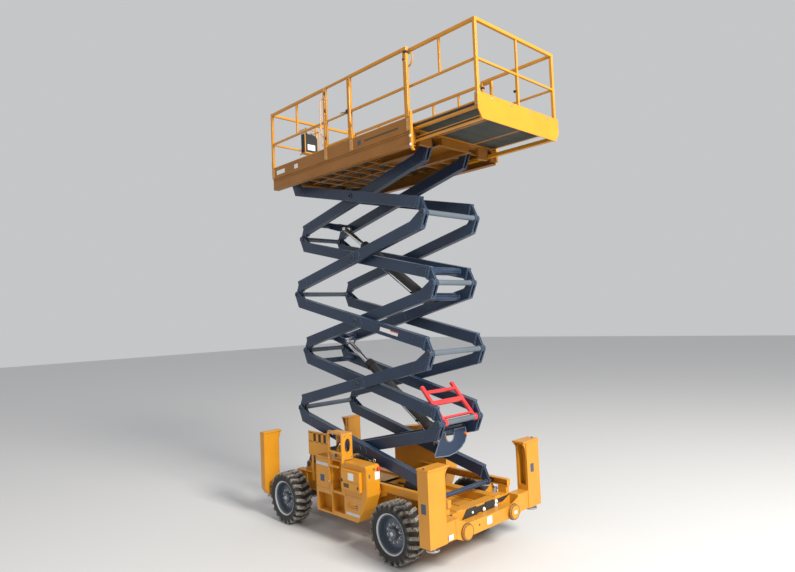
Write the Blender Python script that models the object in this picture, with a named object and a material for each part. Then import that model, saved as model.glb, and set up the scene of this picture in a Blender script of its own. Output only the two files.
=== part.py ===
"""Rough-terrain scissor lift with a five-stage arm stack, roll-out deck and corner jacks.

Metres, +Z up, +X towards the roll-out end, +Y to the far side. Origin under the middle of the
machine at ground level. Each function builds one sub-part; sizes that drive it are listed first.
"""
import math

import bmesh
import bpy
from mathutils import Matrix, Vector

# ---------------------------------------------------------------- driving sizes
HALF_LEN = 2.415          # half the overall length, deck rolled out
STACK_X = -0.355          # middle of the arm stack along the machine
ARM_L = 3.17              # pin to pin along one arm
ARM_ANGLE = math.radians(17.54)   # working angle of the arms in this pose
STAGES = 5
PITCH = 0.25              # pin spacing of the folded stack
ARM_D = 0.165             # depth of an arm tube
ARM_W = 0.090             # width of an arm tube
OUT_Y = 0.538             # middle plane of the outer arms
IN_Y = 0.402              # middle plane of the inner arms
PIVOT_Z = 0.866           # height of the lowest pins
PIN_R = 0.034
BOSS_R = 0.055
ROLLER_R = 0.026          # rollers at the free lower and upper pins
SIDE_PLAY = 0.0008        # side play between a boss and its neighbour
LUG_HALF = 0.020          # half width of the tongue at the low end of an arm
FORK_GAP = 0.0008         # play between tongue and fork cheek
CHEEK_FROM = 0.100        # length of the tongue or fork zone at an arm end
PIN_PLAY = 0.0035
TOUCH = 0.0003            # gap between pieces that are bolted together
MOVE = 0.006              # gap between pieces that move past each other

TYRE_R = 0.410
TYRE_W = 0.300
TYRE_Y = 0.831            # middle plane of the wheels
RIM_R = 0.264
FRONT_AX = 1.040          # front axle along the machine, from the middle of the stack
TYRE_GAP = 0.025          # between the rear tyres and the rear jack legs
REAR_HANG = 0.350         # frame behind the rear axle
AXLE_RISE = 0.040         # under side of the frame above the wheel centres
KING_Y = 0.600            # steering pin

RAIL_Y = 0.400            # chassis side rails
RAIL_W = 0.110
FRAME_Z0 = TYRE_R + AXLE_RISE
FRAME_Z1 = 0.740
FRAME_F = 1.800

JACK_F = 1.890            # middle of the front jack legs along the machine
JACK_FY = 1.022
JACK_W = 0.305
JACK_D = 0.180
JACK_TOP = 1.420
JACK_BOT = 0.490
JACK_RD = 0.125           # depth of the rear legs
JACK_RY = 0.907

MOD_R = -0.600            # side lockers
MOD_F = 0.575
MOD_TOE = 0.485           # front of the lockers at axle height
MOD_OUT = 0.950
MOD_IN = 0.700
MOD_Z0 = 0.410
MOD_Z1 = 1.235

DECK_R = -1.625           # main deck
DECK_F = 1.670
DECK_HALF = 0.905
RAIL_H = 1.150            # guard rail centre above the top pins
TUBE = 0.040              # guard rail tube
EXT_F = 2.770             # front face of the roll-out deck
EXT_HALF = 0.830
TOE_TOP = 0.235

CYL_LOW = 0.83            # lift cylinder pins, as shares of the arm length
CYL_UP = 0.20
CYL_DROP = 0.060
BARREL_R = 0.070
BARREL_L = 1.700
ROD_R = 0.040
ROD_L = 1.770

EXT_TRAVEL = 1.030        # how far the roll-out deck slides back
FOOT_TRAVEL_F = 0.430
FOOT_TRAVEL_R = 0.335
GATE_HINGE_X = -0.1092
GATE_Y = -0.894
COVER_X = 0.069
HOOD_HINGE_Y = 0.945
HOOD_HINGE_Z = 1.2353
FLOOR_TOP = 0.076         # deck floor above the top pins
JOIST_FROM = 0.2613083    # first deck joist ahead of the rear top pins
JOIST_STEP = 0.300

PROP_L = 0.620
PROP_ANGLE = math.radians(131.5)

# ---------------------------------------------------------------- derived
RISE = ARM_L * math.sin(ARM_ANGLE)
RUN = ARM_L * math.cos(ARM_ANGLE)
X_REAR = STACK_X - RUN / 2
X_FRONT = STACK_X + RUN / 2
X_MID = STACK_X
TOP_Z = PIVOT_Z + STAGES * RISE
REAR_AX = -HALF_LEN + JACK_RD + TYRE_GAP + TYRE_R - STACK_X
FRAME_R = REAR_AX - REAR_HANG
ZAX = Vector((0.0, 0.0, 1.0))


def level(k):
    return PIVOT_Z + k * RISE


# ---------------------------------------------------------------- solids as (verts, faces)
def box(x0, x1, y0, y1, z0, z1):
    x0, x1 = min(x0, x1), max(x0, x1)
    y0, y1 = min(y0, y1), max(y0, y1)
    z0, z1 = min(z0, z1), max(z0, z1)
    v = [(x0, y0, z0), (x1, y0, z0), (x1, y1, z0), (x0, y1, z0),
         (x0, y0, z1), (x1, y0, z1), (x1, y1, z1), (x0, y1, z1)]
    f = [(0, 3, 2, 1), (4, 5, 6, 7), (0, 1, 5, 4), (1, 2, 6, 5), (2, 3, 7, 6), (3, 0, 4, 7)]
    return v, f


def prism(outline, a0, a1, axis):
    """Extrude a closed outline along x, y or z. Outline pairs are the other two axes in order."""
    place = {"x": lambda p, a: (a, p[0], p[1]),
             "y": lambda p, a: (p[0], a, p[1]),
             "z": lambda p, a: (p[0], p[1], a)}[axis]
    n = len(outline)
    v = [place(p, a0) for p in outline] + [place(p, a1) for p in outline]
    f = [tuple(range(n)), tuple(range(2 * n - 1, n - 1, -1))]
    f += [(i, i + n, (i + 1) % n + n, (i + 1) % n) for i in range(n)]
    return v, f


def ring_points(cx, cz, r, n, start=0.0):
    return [(cx + r * math.cos(start + 2 * math.pi * i / n),
             cz + r * math.sin(start + 2 * math.pi * i / n)) for i in range(n)]


def disc(axis, c, r, a0, a1, n=14):
    """Cylinder along an axis; c holds the other two coordinates."""
    return prism(ring_points(c[0], c[1], r, n, math.pi / n), a0, a1, axis)


def bar(p, q, w, h=None, n=4):
    """Straight bar from p to q: square or w by h section, or round when n is above four."""
    p = Vector(p)
    q = Vector(q)
    d = (q - p).normalized()
    side = d.cross(ZAX)
    if side.length < 1e-6:
        side = Vector((0.0, 1.0, 0.0))
    side.normalize()
    up = side.cross(d).normalized()
    h = w if h is None else h
    if n == 4:
        sec = [(-w / 2, -h / 2), (w / 2, -h / 2), (w / 2, h / 2), (-w / 2, h / 2)]
    else:
        sec = ring_points(0.0, 0.0, w / 2, n, math.pi / n)
    v = [tuple(p + side * a + up * b) for a, b in sec] + [tuple(q + side * a + up * b) for a, b in sec]
    m = len(sec)
    f = [tuple(range(m)), tuple(range(2 * m - 1, m - 1, -1))]
    f += [(i, i + m, (i + 1) % m + m, (i + 1) % m) for i in range(m)]
    return v, f


def lathe(profile, centre, n=40):
    """Turn a closed outline of (radius, offset along y) pairs about the y axis."""
    cx, cy, cz = centre
    m = len(profile)
    v = []
    for i in range(n):
        a = 2 * math.pi * i / n
        v += [(cx + r * math.cos(a), cy + y, cz + r * math.sin(a)) for r, y in profile]
    f = []
    for i in range(n):
        j = (i + 1) % n
        f += [(i * m + k, j * m + k, j * m + (k + 1) % m, i * m + (k + 1) % m) for k in range(m)]
    return v, f


def hull_outline(points):
    """Convex outline round a set of 2-D points."""
    pts = sorted(set((round(a, 6), round(b, 6)) for a, b in points))

    def half(seq):
        out = []
        for p in seq:
            while len(out) > 1 and ((out[-1][0] - out[-2][0]) * (p[1] - out[-2][1])
                                    - (out[-1][1] - out[-2][1]) * (p[0] - out[-2][0])) <= 1e-12:
                out.pop()
            out.append(p)
        return out[:-1]
    return half(pts) + half(reversed(pts))


def mirror_y(solid):
    v, f = solid
    return [(x, -y, z) for x, y, z in v], [tuple(reversed(k)) for k in f]


def material(name, colour, rough=0.5, metal=0.0):
    m = bpy.data.materials.get(name)
    if m is None:
        m = bpy.data.materials.new(name)
        m.use_nodes = True
        b = m.node_tree.nodes["Principled BSDF"]
        b.inputs["Base Color"].default_value = (*colour, 1.0)
        b.inputs["Roughness"].default_value = rough
        b.inputs["Metallic"].default_value = metal
        m.diffuse_color = (*colour, 1.0)
    return m


def raw_object(name, solid):
    me = bpy.data.meshes.new(name)
    me.from_pydata([tuple(p) for p in solid[0]], [], solid[1])
    bm = bmesh.new()
    bm.from_mesh(me)
    bmesh.ops.remove_doubles(bm, verts=bm.verts, dist=0.00001)
    bmesh.ops.recalc_face_normals(bm, faces=bm.faces)
    bm.to_mesh(me)
    bm.free()
    ob = bpy.data.objects.new(name, me)
    bpy.context.scene.collection.objects.link(ob)
    return ob


def boolean(ob, other, kind):
    mod = ob.modifiers.new("b", "BOOLEAN")
    mod.operation = kind
    mod.solver = "EXACT"
    mod.object = other
    bpy.context.view_layer.update()
    dg = bpy.context.evaluated_depsgraph_get()
    me = bpy.data.meshes.new_from_object(ob.evaluated_get(dg))
    ob.modifiers.clear()
    old = ob.data
    ob.data = me
    bpy.data.meshes.remove(old)
    gone = other.data
    bpy.data.objects.remove(other)
    bpy.data.meshes.remove(gone)


def piece(name, solids, mat, cuts=(), origin=(0.0, 0.0, 0.0)):
    """Join the solids into one closed body, cut the holes and set the origin."""
    ob = raw_object(name, solids[0])
    for s in solids[1:]:
        boolean(ob, raw_object("tool", s), "UNION")
    for s in cuts:
        boolean(ob, raw_object("tool", s), "DIFFERENCE")
    bm = bmesh.new()
    bm.from_mesh(ob.data)
    bmesh.ops.remove_doubles(bm, verts=bm.verts, dist=0.00001)
    bmesh.ops.dissolve_limit(bm, angle_limit=math.radians(0.05), verts=bm.verts, edges=bm.edges)
    bmesh.ops.triangulate(bm, faces=[f for f in bm.faces if len(f.verts) > 4])
    bmesh.ops.recalc_face_normals(bm, faces=bm.faces)
    bm.to_mesh(ob.data)
    bm.free()
    ob.data.name = name
    ob.data.materials.clear()
    ob.data.materials.append(mat)
    ob.data.transform(Matrix.Translation(-Vector(origin)))
    ob.location = origin
    return ob


def paint():
    return {
        "yellow": material("yellow_paint", (0.80, 0.43, 0.045), 0.42),
        "amber": material("deck_paint", (0.62, 0.33, 0.04), 0.5),
        "arm": material("arm_paint", (0.045, 0.062, 0.095), 0.45),
        "steel": material("steel_blue", (0.28, 0.34, 0.38), 0.4, 0.4),
        "black": material("black_parts", (0.02, 0.02, 0.022), 0.5),
        "rubber": material("tyre_rubber", (0.035, 0.034, 0.033), 0.9),
        "rim": material("rim_paint", (0.16, 0.20, 0.28), 0.4),
        "red": material("prop_red", (0.70, 0.04, 0.05), 0.45),
        "chrome": material("rod_chrome", (0.8, 0.8, 0.82), 0.15, 1.0),
        "pad": material("pad_steel", (0.35, 0.35, 0.34), 0.5, 0.6),
        "floor": material("deck_floor", (0.22, 0.24, 0.20), 0.6, 0.2),
    }


# ---------------------------------------------------------------- arm stack
def arm_place(low, high):
    """Map (u along the pin line, w above it) of an arm to the side plane."""
    dx = high[0] - low[0]
    dz = high[1] - low[1]
    n = math.hypot(dx, dz)
    c, s = dx / n, dz / n
    up = 1.0 if dx > 0 else -1.0
    return lambda u, w: (low[0] + u * c - up * w * s, low[1] + u * s + up * w * c)


def tube_mid(u):
    return PITCH / 2 * (1 - 2 * u / ARM_L)


def arc(cu, cw, r, a0, a1, n=4):
    return [(cu + r * math.cos(math.radians(a0 + (a1 - a0) * i / (n - 1))),
             cw + r * math.sin(math.radians(a0 + (a1 - a0) * i / (n - 1)))) for i in range(n)]


def arm_solids(low, high, y):
    """One arm: boxed tube with chamfered ends, a tongue at the low pin and a fork at the high pin."""
    put = arm_place(low, high)
    d = ARM_D / 2
    e = CHEEK_FROM

    def top(u):
        return tube_mid(u) + d

    def bot(u):
        return tube_mid(u) - d
    low_end = arc(0, 0, BOSS_R, 150, 300)
    high_end = arc(ARM_L, 0, BOSS_R, -30, 120)
    body = [(e, 0.012), (0.14, bot(0.14)), (ARM_L - e, bot(ARM_L - e)), (ARM_L - e, -0.012),
            (ARM_L - 0.14, top(ARM_L - 0.14)), (e, top(e))]
    tongue = low_end + [(0.125, bot(0.14)), (0.13, top(0.13) - 0.004), (e + 0.002, top(e) - 0.004)]
    fork = high_end + [(ARM_L - 0.125, top(ARM_L - 0.14)), (ARM_L - 0.13, bot(ARM_L - 0.13) + 0.004),
                       (ARM_L - e - 0.002, bot(ARM_L - e) + 0.004)]
    w = ARM_W / 2
    lug = LUG_HALF
    ck = LUG_HALF + FORK_GAP
    out = [prism([put(*p) for p in body], y - w, y + w, "y"),
           prism([put(*p) for p in tongue], y - lug, y + lug, "y"),
           prism([put(*p) for p in fork], y - w, y - ck, "y"),
           prism([put(*p) for p in fork], y + ck, y + w, "y")]
    return out, put


def cross_tube(put, u, w, r, y, n=10):
    c = put(u, w)
    return disc("y", c, r, -y, y, n)


def stage_ends(i, outer):
    """Low and high pin of stage i (from one) for the outer or inner arms."""
    z0, z1 = level(i - 1), level(i)
    low_rear = (i % 2 == 0) if outer else (i % 2 == 1)
    if low_rear:
        return (X_REAR, z0), (X_FRONT, z1)
    return (X_FRONT, z0), (X_REAR, z1)


def outer_frame(i, mats):
    low, high = stage_ends(i, True)
    near, put = arm_solids(low, high, -OUT_Y)
    far, _ = arm_solids(low, high, OUT_Y)
    reach = OUT_Y + ARM_W / 2 + 0.008
    if i == 1:
        reach = OUT_Y + ARM_W / 2 + 0.002
    solids = near + far + [disc("y", low, PIN_R, -reach, reach, 8)]
    if i == 1:
        for s in (-1, 1):
            solids.append(disc("y", low, 0.020, s * (OUT_Y - 0.01), s * 0.612, 8))
            solids.append(disc("y", low, ROLLER_R, s * 0.606, s * 0.648, 8))
    else:
        for s in (-1, 1):
            solids.append(disc("y", low, 0.048, s * (OUT_Y + ARM_W / 2 + 0.002), s * (reach + 0.004), 8))
    mid = (X_MID, (low[1] + high[1]) / 2)
    cuts = [disc("y", mid, PIN_R + PIN_PLAY, -0.7, 0.7, 8)]
    cuts += [disc("y", high, PIN_R + PIN_PLAY, -0.7, 0.7, 8)]
    return piece("outer_arms_%d" % i, solids, mats["arm"], cuts, (mid[0], 0.0, mid[1]))


def inner_frame(i, mats):
    low, high = stage_ends(i, False)
    near, put = arm_solids(low, high, -IN_Y)
    far, _ = arm_solids(low, high, IN_Y)
    half = IN_Y - ARM_W / 2 + 0.004
    reach = IN_Y + ARM_W / 2 + 0.010
    solids = near + far + [disc("y", low, PIN_R, -reach, reach, 8)]
    mid = (X_MID, (low[1] + high[1]) / 2)
    for s in (-1, 1):
        solids.append(disc("y", mid, 0.058, s * (IN_Y + 0.02), s * (OUT_Y - ARM_W / 2 - SIDE_PLAY), 8))
        solids.append(disc("y", mid, PIN_R, s * (IN_Y + 0.02), s * (OUT_Y + ARM_W / 2 + 0.010), 8))
        solids.append(disc("y", mid, 0.050, s * (OUT_Y + ARM_W / 2 + 0.003),
                           s * (OUT_Y + ARM_W / 2 + 0.014), 8))
        solids.append(disc("y", low, 0.046, s * (IN_Y + ARM_W / 2 + 0.002), s * (reach + 0.004), 8))
    cuts = [disc("y", high, PIN_R + PIN_PLAY, -0.6, 0.6, 8)]
    if i in (1, 3):
        solids.append(cross_tube(put, ARM_L - 0.30, tube_mid(ARM_L - 0.30), 0.058, half))
        solids += cylinder_lugs(put, ARM_L * CYL_LOW, ARM_L - 0.30, tube_mid(ARM_L - 0.30))
    if i in (3, 5):
        solids.append(cross_tube(put, 0.40, tube_mid(0.40), 0.048, half))
        solids += cylinder_lugs(put, ARM_L * CYL_UP, 0.40, tube_mid(0.40))
    if i == 2:
        solids.append(cross_tube(put, ARM_L - 0.30, tube_mid(ARM_L - 0.30), 0.045, half))
    if i == 4:
        solids.append(cross_tube(put, 0.26, tube_mid(0.26), 0.058, half))
    if i == 5:
        for s in (-1, 1):
            solids.append(disc("y", high, 0.020, s * (IN_Y + 0.03), s * 0.340, 8))
            solids.append(disc("y", high, ROLLER_R, s * 0.345, s * 0.294, 8))
        cuts = []
    return piece("inner_arms_%d" % i, solids, mats["arm"], cuts, (low[0], 0.0, low[1]))


def cylinder_lugs(put, u_pin, u_tube, w_tube):
    """Pair of plates from a cross tube down to a cylinder pin."""
    c = put(u_pin, -CYL_DROP)
    t = put(u_tube, w_tube)
    outline = hull_outline(ring_points(c[0], c[1], 0.055, 10) + ring_points(t[0], t[1], 0.052, 10))
    out = [prism(outline, 0.090, 0.112, "y"), prism(outline, -0.112, -0.090, "y")]
    return out


def cylinder_line(i):
    """Low pin, high pin and length of the lift cylinder that starts on stage i."""
    low_arm = arm_place(*stage_ends(i, False))
    high_arm = arm_place(*stage_ends(i + 2, False))
    a = low_arm(ARM_L * CYL_LOW, -CYL_DROP)
    b = high_arm(ARM_L * CYL_UP, -CYL_DROP)
    return a, b, math.dist(a, b)


def along(a, b, t):
    n = math.dist(a, b)
    return (a[0] + (b[0] - a[0]) * t / n, a[1] + (b[1] - a[1]) * t / n)


def barrel(i, name, mats):
    a, b, _ = cylinder_line(i)
    p0 = along(a, b, 0.030)
    p1 = along(a, b, BARREL_L)
    p2 = along(a, b, BARREL_L - 0.07)
    q = along(a, b, 0.085)
    solids = [bar((p0[0], 0, p0[1]), (p1[0], 0, p1[1]), 2 * BARREL_R, n=14),
              bar((p2[0], 0, p2[1]), (along(a, b, BARREL_L - 0.004)[0], 0, along(a, b, BARREL_L - 0.004)[1]),
                  2 * BARREL_R + 0.024, n=14),
              disc("y", a, 0.052, -0.084, 0.084, 14)]
    cut0 = (q[0], 0, q[1])
    r = along(a, b, BARREL_L + 0.2)
    cuts = [bar(cut0, (r[0], 0, r[1]), 2 * ROD_R + 0.0018, n=14)]
    return piece(name, solids, mats["black"], cuts, (a[0], 0.0, a[1]))


def rod(i, name, mats):
    a, b, n = cylinder_line(i)
    p0 = along(a, b, n - ROD_L)
    solids = [bar((p0[0], 0, p0[1]), (b[0], 0, b[1]), 2 * ROD_R, n=14),
              disc("y", b, 0.052, -0.080, 0.080, 14)]
    return piece(name, solids, mats["chrome"], (), (b[0], 0.0, b[1]))


def prop(mats):
    """Maintenance prop hinged on the low pins of the second inner arms."""
    c = (X_FRONT, level(1))
    ca, sa = math.cos(PROP_ANGLE), math.sin(PROP_ANGLE)

    def at(d, y):
        return (c[0] + d * ca, y, c[1] + d * sa)
    solids = []
    y = IN_Y - ARM_W / 2 - 0.037
    for s in (-1, 1):
        solids.append(disc("y", c, 0.050, s * (y - 0.022), s * (IN_Y - ARM_W / 2 - SIDE_PLAY), 12))
        solids.append(bar(at(0.030, s * y), at(PROP_L, s * y), 0.040, 0.045))
    for d in (0.20, 0.50):
        solids.append(bar(at(d, -y), at(d, y), 0.038, 0.038))
    order = [solids[1], solids[4], solids[3], solids[5], solids[0], solids[2]]
    cuts = [disc("y", c, PIN_R + PIN_PLAY, -0.6, 0.6, 8)]
    return piece("safety_prop", order, mats["red"], cuts, (c[0], 0.0, c[1]))


# ---------------------------------------------------------------- chassis
def chassis(mats):
    x = STACK_X
    half = RAIL_W / 2
    s = [box(x + FRAME_R + 0.01, x + FRAME_F - 0.01, -RAIL_Y - half, -RAIL_Y + half, FRAME_Z0, FRAME_Z1),
         box(x + FRAME_R, x + FRAME_R + 0.16, -0.60, 0.60, FRAME_Z0 + 0.02, FRAME_Z1 - 0.02),
         box(x + FRAME_F - 0.16, x + FRAME_F, -0.66, 0.66, FRAME_Z0 + 0.05, FRAME_Z1 - 0.01),
         box(x + FRAME_R + 0.01, x + FRAME_F - 0.01, RAIL_Y - half, RAIL_Y + half, FRAME_Z0, FRAME_Z1),
         box(x + FRAME_R + 0.1, x + FRAME_F - 0.1, -RAIL_Y, RAIL_Y, FRAME_Z0 + 0.05, FRAME_Z0 + 0.09)]
    for px in (-0.9, -0.05, 0.9):
        s.append(box(x + px - 0.05, x + px + 0.05, -RAIL_Y, RAIL_Y, FRAME_Z0 + 0.06, FRAME_Z1 - 0.06))
    track0 = x + 0.05
    track1 = x + FRAME_F + 0.02
    z = PIVOT_Z
    for m in (-1, 1):
        s.append(box(x - 0.52, x - 0.40, m * RAIL_Y, m * (MOD_IN - TOUCH), 0.50, 0.60))
        s.append(box(x + 0.06, x + 0.24, m * RAIL_Y, m * (MOD_IN - TOUCH), 0.50, 0.72))
        s.append(box(track0, track1, m * 0.655, m * 0.667, z - 0.0375, z + 0.060))
        s.append(box(track0, track1, m * 0.596, m * 0.660, z - 0.0375, z - 0.0275))
        s.append(box(track0, track1, m * 0.596, m * 0.660, z + 0.048, z + 0.060))
        s.append(box(track0 + 0.01, x + 0.26, m * 0.600, m * 0.664, 0.60, z - 0.03))
        s.append(box(x + FRAME_F - 0.15, x + FRAME_F - 0.005, m * 0.600, m * 0.664, 0.60, z - 0.03))
        s.append(box(track1 - 0.012, track1, m * 0.596, m * 0.667, z - 0.0375, z + 0.060))
        # rear pivot cheeks
        for y0, y1 in ((IN_Y - ARM_W / 2, IN_Y - LUG_HALF - FORK_GAP),
                       (IN_Y + LUG_HALF + FORK_GAP, IN_Y + ARM_W / 2)):
            out = hull_outline(ring_points(X_REAR, z, 0.058, 10)
                               + [(X_REAR - 0.11, FRAME_Z1 - 0.03), (X_REAR + 0.10, FRAME_Z1 - 0.03)])
            s.append(prism(out, m * y0, m * y1, "y"))
    cuts = [disc("y", (X_REAR, z), PIN_R + PIN_PLAY, -0.6, 0.6, 8)]
    return piece("chassis_frame", s, mats["yellow"], cuts)


def axle_front(mats):
    x = STACK_X + FRONT_AX
    z = TYRE_R
    top = FRAME_Z0 - TOUCH
    s = [box(x - 0.07, x + 0.07, -0.53, 0.53, z - 0.07, top),
         disc("y", (x, z - 0.080), 0.115, -0.16, 0.16, 12)]
    for m in (-1, 1):
        s.append(box(x - 0.06, x + 0.06, m * 0.50, m * 0.545, z - 0.140, z + 0.140))
        s.append(box(x - 0.055, x + 0.055, m * 0.51, m * 0.645, z + 0.112, z + 0.140))
        s.append(box(x - 0.055, x + 0.055, m * 0.51, m * 0.645, z - 0.140, z - 0.112))
    return piece("front_axle", s, mats["black"], ())


def knuckle(m, name, mats):
    x = STACK_X + FRONT_AX
    z = TYRE_R
    s = [box(x - 0.048, x + 0.048, m * 0.562, m * 0.660, z - 0.112 + SIDE_PLAY, z + 0.112 - SIDE_PLAY),
         disc("y", (x, z), 0.065, m * 0.650, m * (TYRE_Y - 0.030 - SIDE_PLAY), 12),
         disc("y", (x, z), 0.030, m * 0.730, m * 0.905, 10),
         box(x - 0.20, x - 0.04, m * 0.585, m * 0.625, z - 0.03, z + 0.01)]
    return piece(name, s, mats["black"], (), (x, m * KING_Y, z))


def axle_rear(mats):
    x = STACK_X + REAR_AX
    z = TYRE_R
    top = FRAME_Z0 - TOUCH
    s = [box(x - 0.07, x + 0.07, -0.60, 0.60, z - 0.07, top),
         disc("y", (x, z - 0.080), 0.115, -0.16, 0.16, 12)]
    for m in (-1, 1):
        s.append(disc("y", (x, z - 0.01), 0.085, m * 0.58, m * (TYRE_Y - 0.030 - SIDE_PLAY), 12))
        s.append(disc("y", (x, z), 0.030, m * 0.730, m * 0.905, 10))
    return piece("rear_axle", s, mats["black"], ())


def wheel(xa, m, tag, mats):
    c = (STACK_X + xa, m * TYRE_Y, TYRE_R)
    rim = [(0.032, -0.03), (0.090, -0.03), (0.090, 0.050), (0.250, 0.050), (0.250, -0.125),
           (RIM_R, -0.125), (RIM_R, 0.125), (0.250, 0.125), (0.250, 0.064), (0.085, 0.064),
           (0.085, 0.105), (0.032, 0.105)]
    h = TYRE_W / 2
    ri = RIM_R + TOUCH
    tyre = [(ri, -0.122), (TYRE_R - 0.10, -h), (TYRE_R - 0.040, -h), (TYRE_R, -h + 0.050),
            (TYRE_R, h - 0.050), (TYRE_R - 0.040, h), (TYRE_R - 0.10, h), (ri, 0.122)]
    rim = [(r, m * y) for r, y in rim]
    piece("rim_" + tag, [lathe(rim, c, 24)], mats["rim"], (), c)
    piece("tyre_" + tag, [lathe(tyre, c, 24)], mats["rubber"], (), c)


def jack_front(m, name, mats):
    x = STACK_X + JACK_F
    d = JACK_D / 2
    yo = JACK_FY + JACK_W / 2
    yi = JACK_FY - JACK_W / 2
    boss = 0.500
    zb = JACK_BOT + 0.045
    s = [box(x - d, x + d, m * yi, m * yo, JACK_BOT, JACK_TOP - 0.002),
         box(x - d + 0.01, x + d - 0.01, m * 0.630, m * (yi + 0.05), JACK_BOT + 0.004, JACK_BOT + 0.245),
         box(x - d - 0.01, x + d + 0.01, m * (yi - 0.075), m * (yo + 0.004), JACK_TOP - 0.012, JACK_TOP + 0.012)]
    plate = hull_outline(ring_points(m * boss, zb, 0.112, 12)
                         + [(m * 0.70, JACK_BOT + 0.006), (m * 0.70, JACK_BOT + 0.243)])
    s.append(prism(plate, x + d - 0.022, x + d - 0.004, "x"))
    s.append(prism(plate, x - d + 0.004, x - d + 0.022, "x"))
    s.append(disc("x", (m * boss, zb), 0.104, x + d - 0.008, x + d + 0.026, 14))
    cuts = [disc("z", (x, m * (JACK_FY + 0.02)), 0.0359, JACK_BOT - 0.1, JACK_BOT + 0.52, 10),
            box(x - d + 0.035, x + d - 0.035, m * (yi - 0.02), m * (yi + 0.10), JACK_BOT + 0.32, JACK_TOP - 0.05)]
    return piece(name, s, mats["yellow"], cuts)


def beam_front(mats):
    x = STACK_X + JACK_F
    d = JACK_D / 2 - 0.022 - TOUCH
    zb = JACK_BOT + 0.045
    s = [box(x - d, x + d, -0.50, 0.50, zb - 0.085, zb + 0.085)]
    for m in (-1, 1):
        s.append(disc("x", (m * 0.50, zb), 0.100, x - d, x + d, 12))
    return piece("front_jack_beam", s, mats["yellow"], ())


def bracket_front(m, name, mats):
    """Bolted plate between the chassis front and the jack beam."""
    x = STACK_X + FRAME_F + TOUCH
    zb = JACK_BOT + 0.045
    outline = [(m * 0.06, zb - 0.02), (m * 0.375, zb - 0.02), (m * 0.375, zb + 0.090), (m * 0.28, zb + 0.190),
               (m * 0.10, zb + 0.190)]
    return piece(name, [prism(outline, x, x + 0.0213 - 2 * TOUCH, "x")], mats["black"], ())


def jack_rear(m, name, mats):
    x1 = -HALF_LEN
    x0 = x1 + JACK_RD
    yo = JACK_RY + 0.1425
    yi = JACK_RY - 0.1425
    z0 = JACK_BOT - 0.09
    col = [(m * yi, z0 + 0.05), (m * (yo - 0.06), z0), (m * yo, z0 + 0.10), (m * yo, JACK_TOP), (m * yi, JACK_TOP)]
    s = [prism(col, x1, x0, "x"),
         box(x1 + 0.004, x0 - 0.004, m * 0.520, m * (yi + 0.05), z0 + 0.06, z0 + 0.26),
         box(x1, x0 + 0.012, m * (yi - 0.060), m * (yo + 0.004), JACK_TOP - 0.010, JACK_TOP + 0.012)]
    cuts = [disc("z", ((x0 + x1) / 2, m * JACK_RY), 0.0309, z0 - 0.1, z0 + 0.55, 10)]
    return piece(name, s, mats["yellow"], cuts)


def beam_rear(mats):
    x1 = -HALF_LEN + 0.006
    z0 = JACK_BOT - 0.09
    s = [box(x1, x1 + JACK_RD - 0.012, -0.520 + TOUCH, 0.520 - TOUCH, z0 + 0.06, z0 + 0.26)]
    for m in (-1, 1):
        s.append(box(x1 + 0.05, STACK_X + FRAME_R - TOUCH, m * 0.10, m * 0.42, z0 + 0.08, z0 + 0.24))
    return piece("rear_jack_beam", s, mats["yellow"], ())


def foot(x, y, z, r, pad, name, mats, length=0.48):
    """Jack foot: round pad on a ram that slides in the leg."""
    s = [disc("z", (x, y), r, z + 0.012, z + length, 10),
         disc("z", (x, y), pad, z, z + 0.022, 16),
         disc("z", (x, y), 0.050, z + 0.018, z + 0.036, 10)]
    return piece(name, s, mats["pad"], (), (x, y, z))


def locker(m, name, mats):
    x = STACK_X
    top = MOD_Z1
    prof = [(x + MOD_R, MOD_Z0), (x + 0.36, MOD_Z0), (x + MOD_TOE, 0.60), (x + MOD_F, 0.80),
            (x + MOD_F, top - 0.045), (x + MOD_F - 0.03, top - 0.02), (x + MOD_R, top)]
    if m > 0:
        prof[4:6] = [(x + MOD_F, top - 0.02), (x + MOD_F - 0.05, top)]
    s = [prism(prof, m * MOD_IN, m * MOD_OUT, "y")]
    cuts = []
    if m < 0:
        y0, y1 = -MOD_OUT - 0.05, -MOD_OUT + 0.13
        cuts = [box(x - 0.562, x - 0.220, y0, y1, 0.435, 0.690), box(x - 0.190, x + 0.065, y0, y1, 0.470, 0.735),
                box(x - 0.195, x + 0.010, y0, y1, 0.774, 1.205)]
    return piece(name, s, mats["yellow"], cuts)


def locker_hood(mats):
    """Taller hood over the far locker."""
    x = STACK_X
    z0 = MOD_Z1 + TOUCH
    prof = [(x - 0.55, z0), (x - 0.55, 1.40), (x + 0.10, 1.50), (x + 0.36, 1.47), (x + 0.42, z0)]
    s = [prism(prof, MOD_IN + 0.005, HOOD_HINGE_Y, "y")]
    return piece("engine_hood", s, mats["yellow"], (), (x, HOOD_HINGE_Y, HOOD_HINGE_Z))


def step_frame(mats):
    """Boarding step cage standing over the near locker."""
    x = STACK_X
    yo = -MOD_OUT - TOUCH
    a, b = x - 0.262, x + 0.085
    back = -0.780
    s = [box(a, a + 0.034, yo - 0.030, yo, 0.85, 1.62),
         box(b - 0.030, b, yo - 0.030, yo, 1.20, 1.62),
         box(a, b, yo - 0.030, back, 1.600, 1.62),
         box(a, a + 0.034, back - 0.035, back, MOD_Z1 + 0.002, 1.61),
         box(b - 0.014, b, yo - 0.005, back, MOD_Z1 + 0.002, 1.61),
         box(a, b, yo - 0.030, yo, 1.325, 1.355),
         box(a, a + 0.240, yo - 0.030, yo, 1.115, 1.145)]
    cut = [prism([(-0.872 + 0.050 * math.cos(t), 1.44 + 0.100 * math.sin(t)) for t in
                  [2 * math.pi * k / 16 for k in range(16)]], b - 0.05, b + 0.02, "x")]
    return piece("boarding_steps", s, mats["yellow"], cut)


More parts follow.
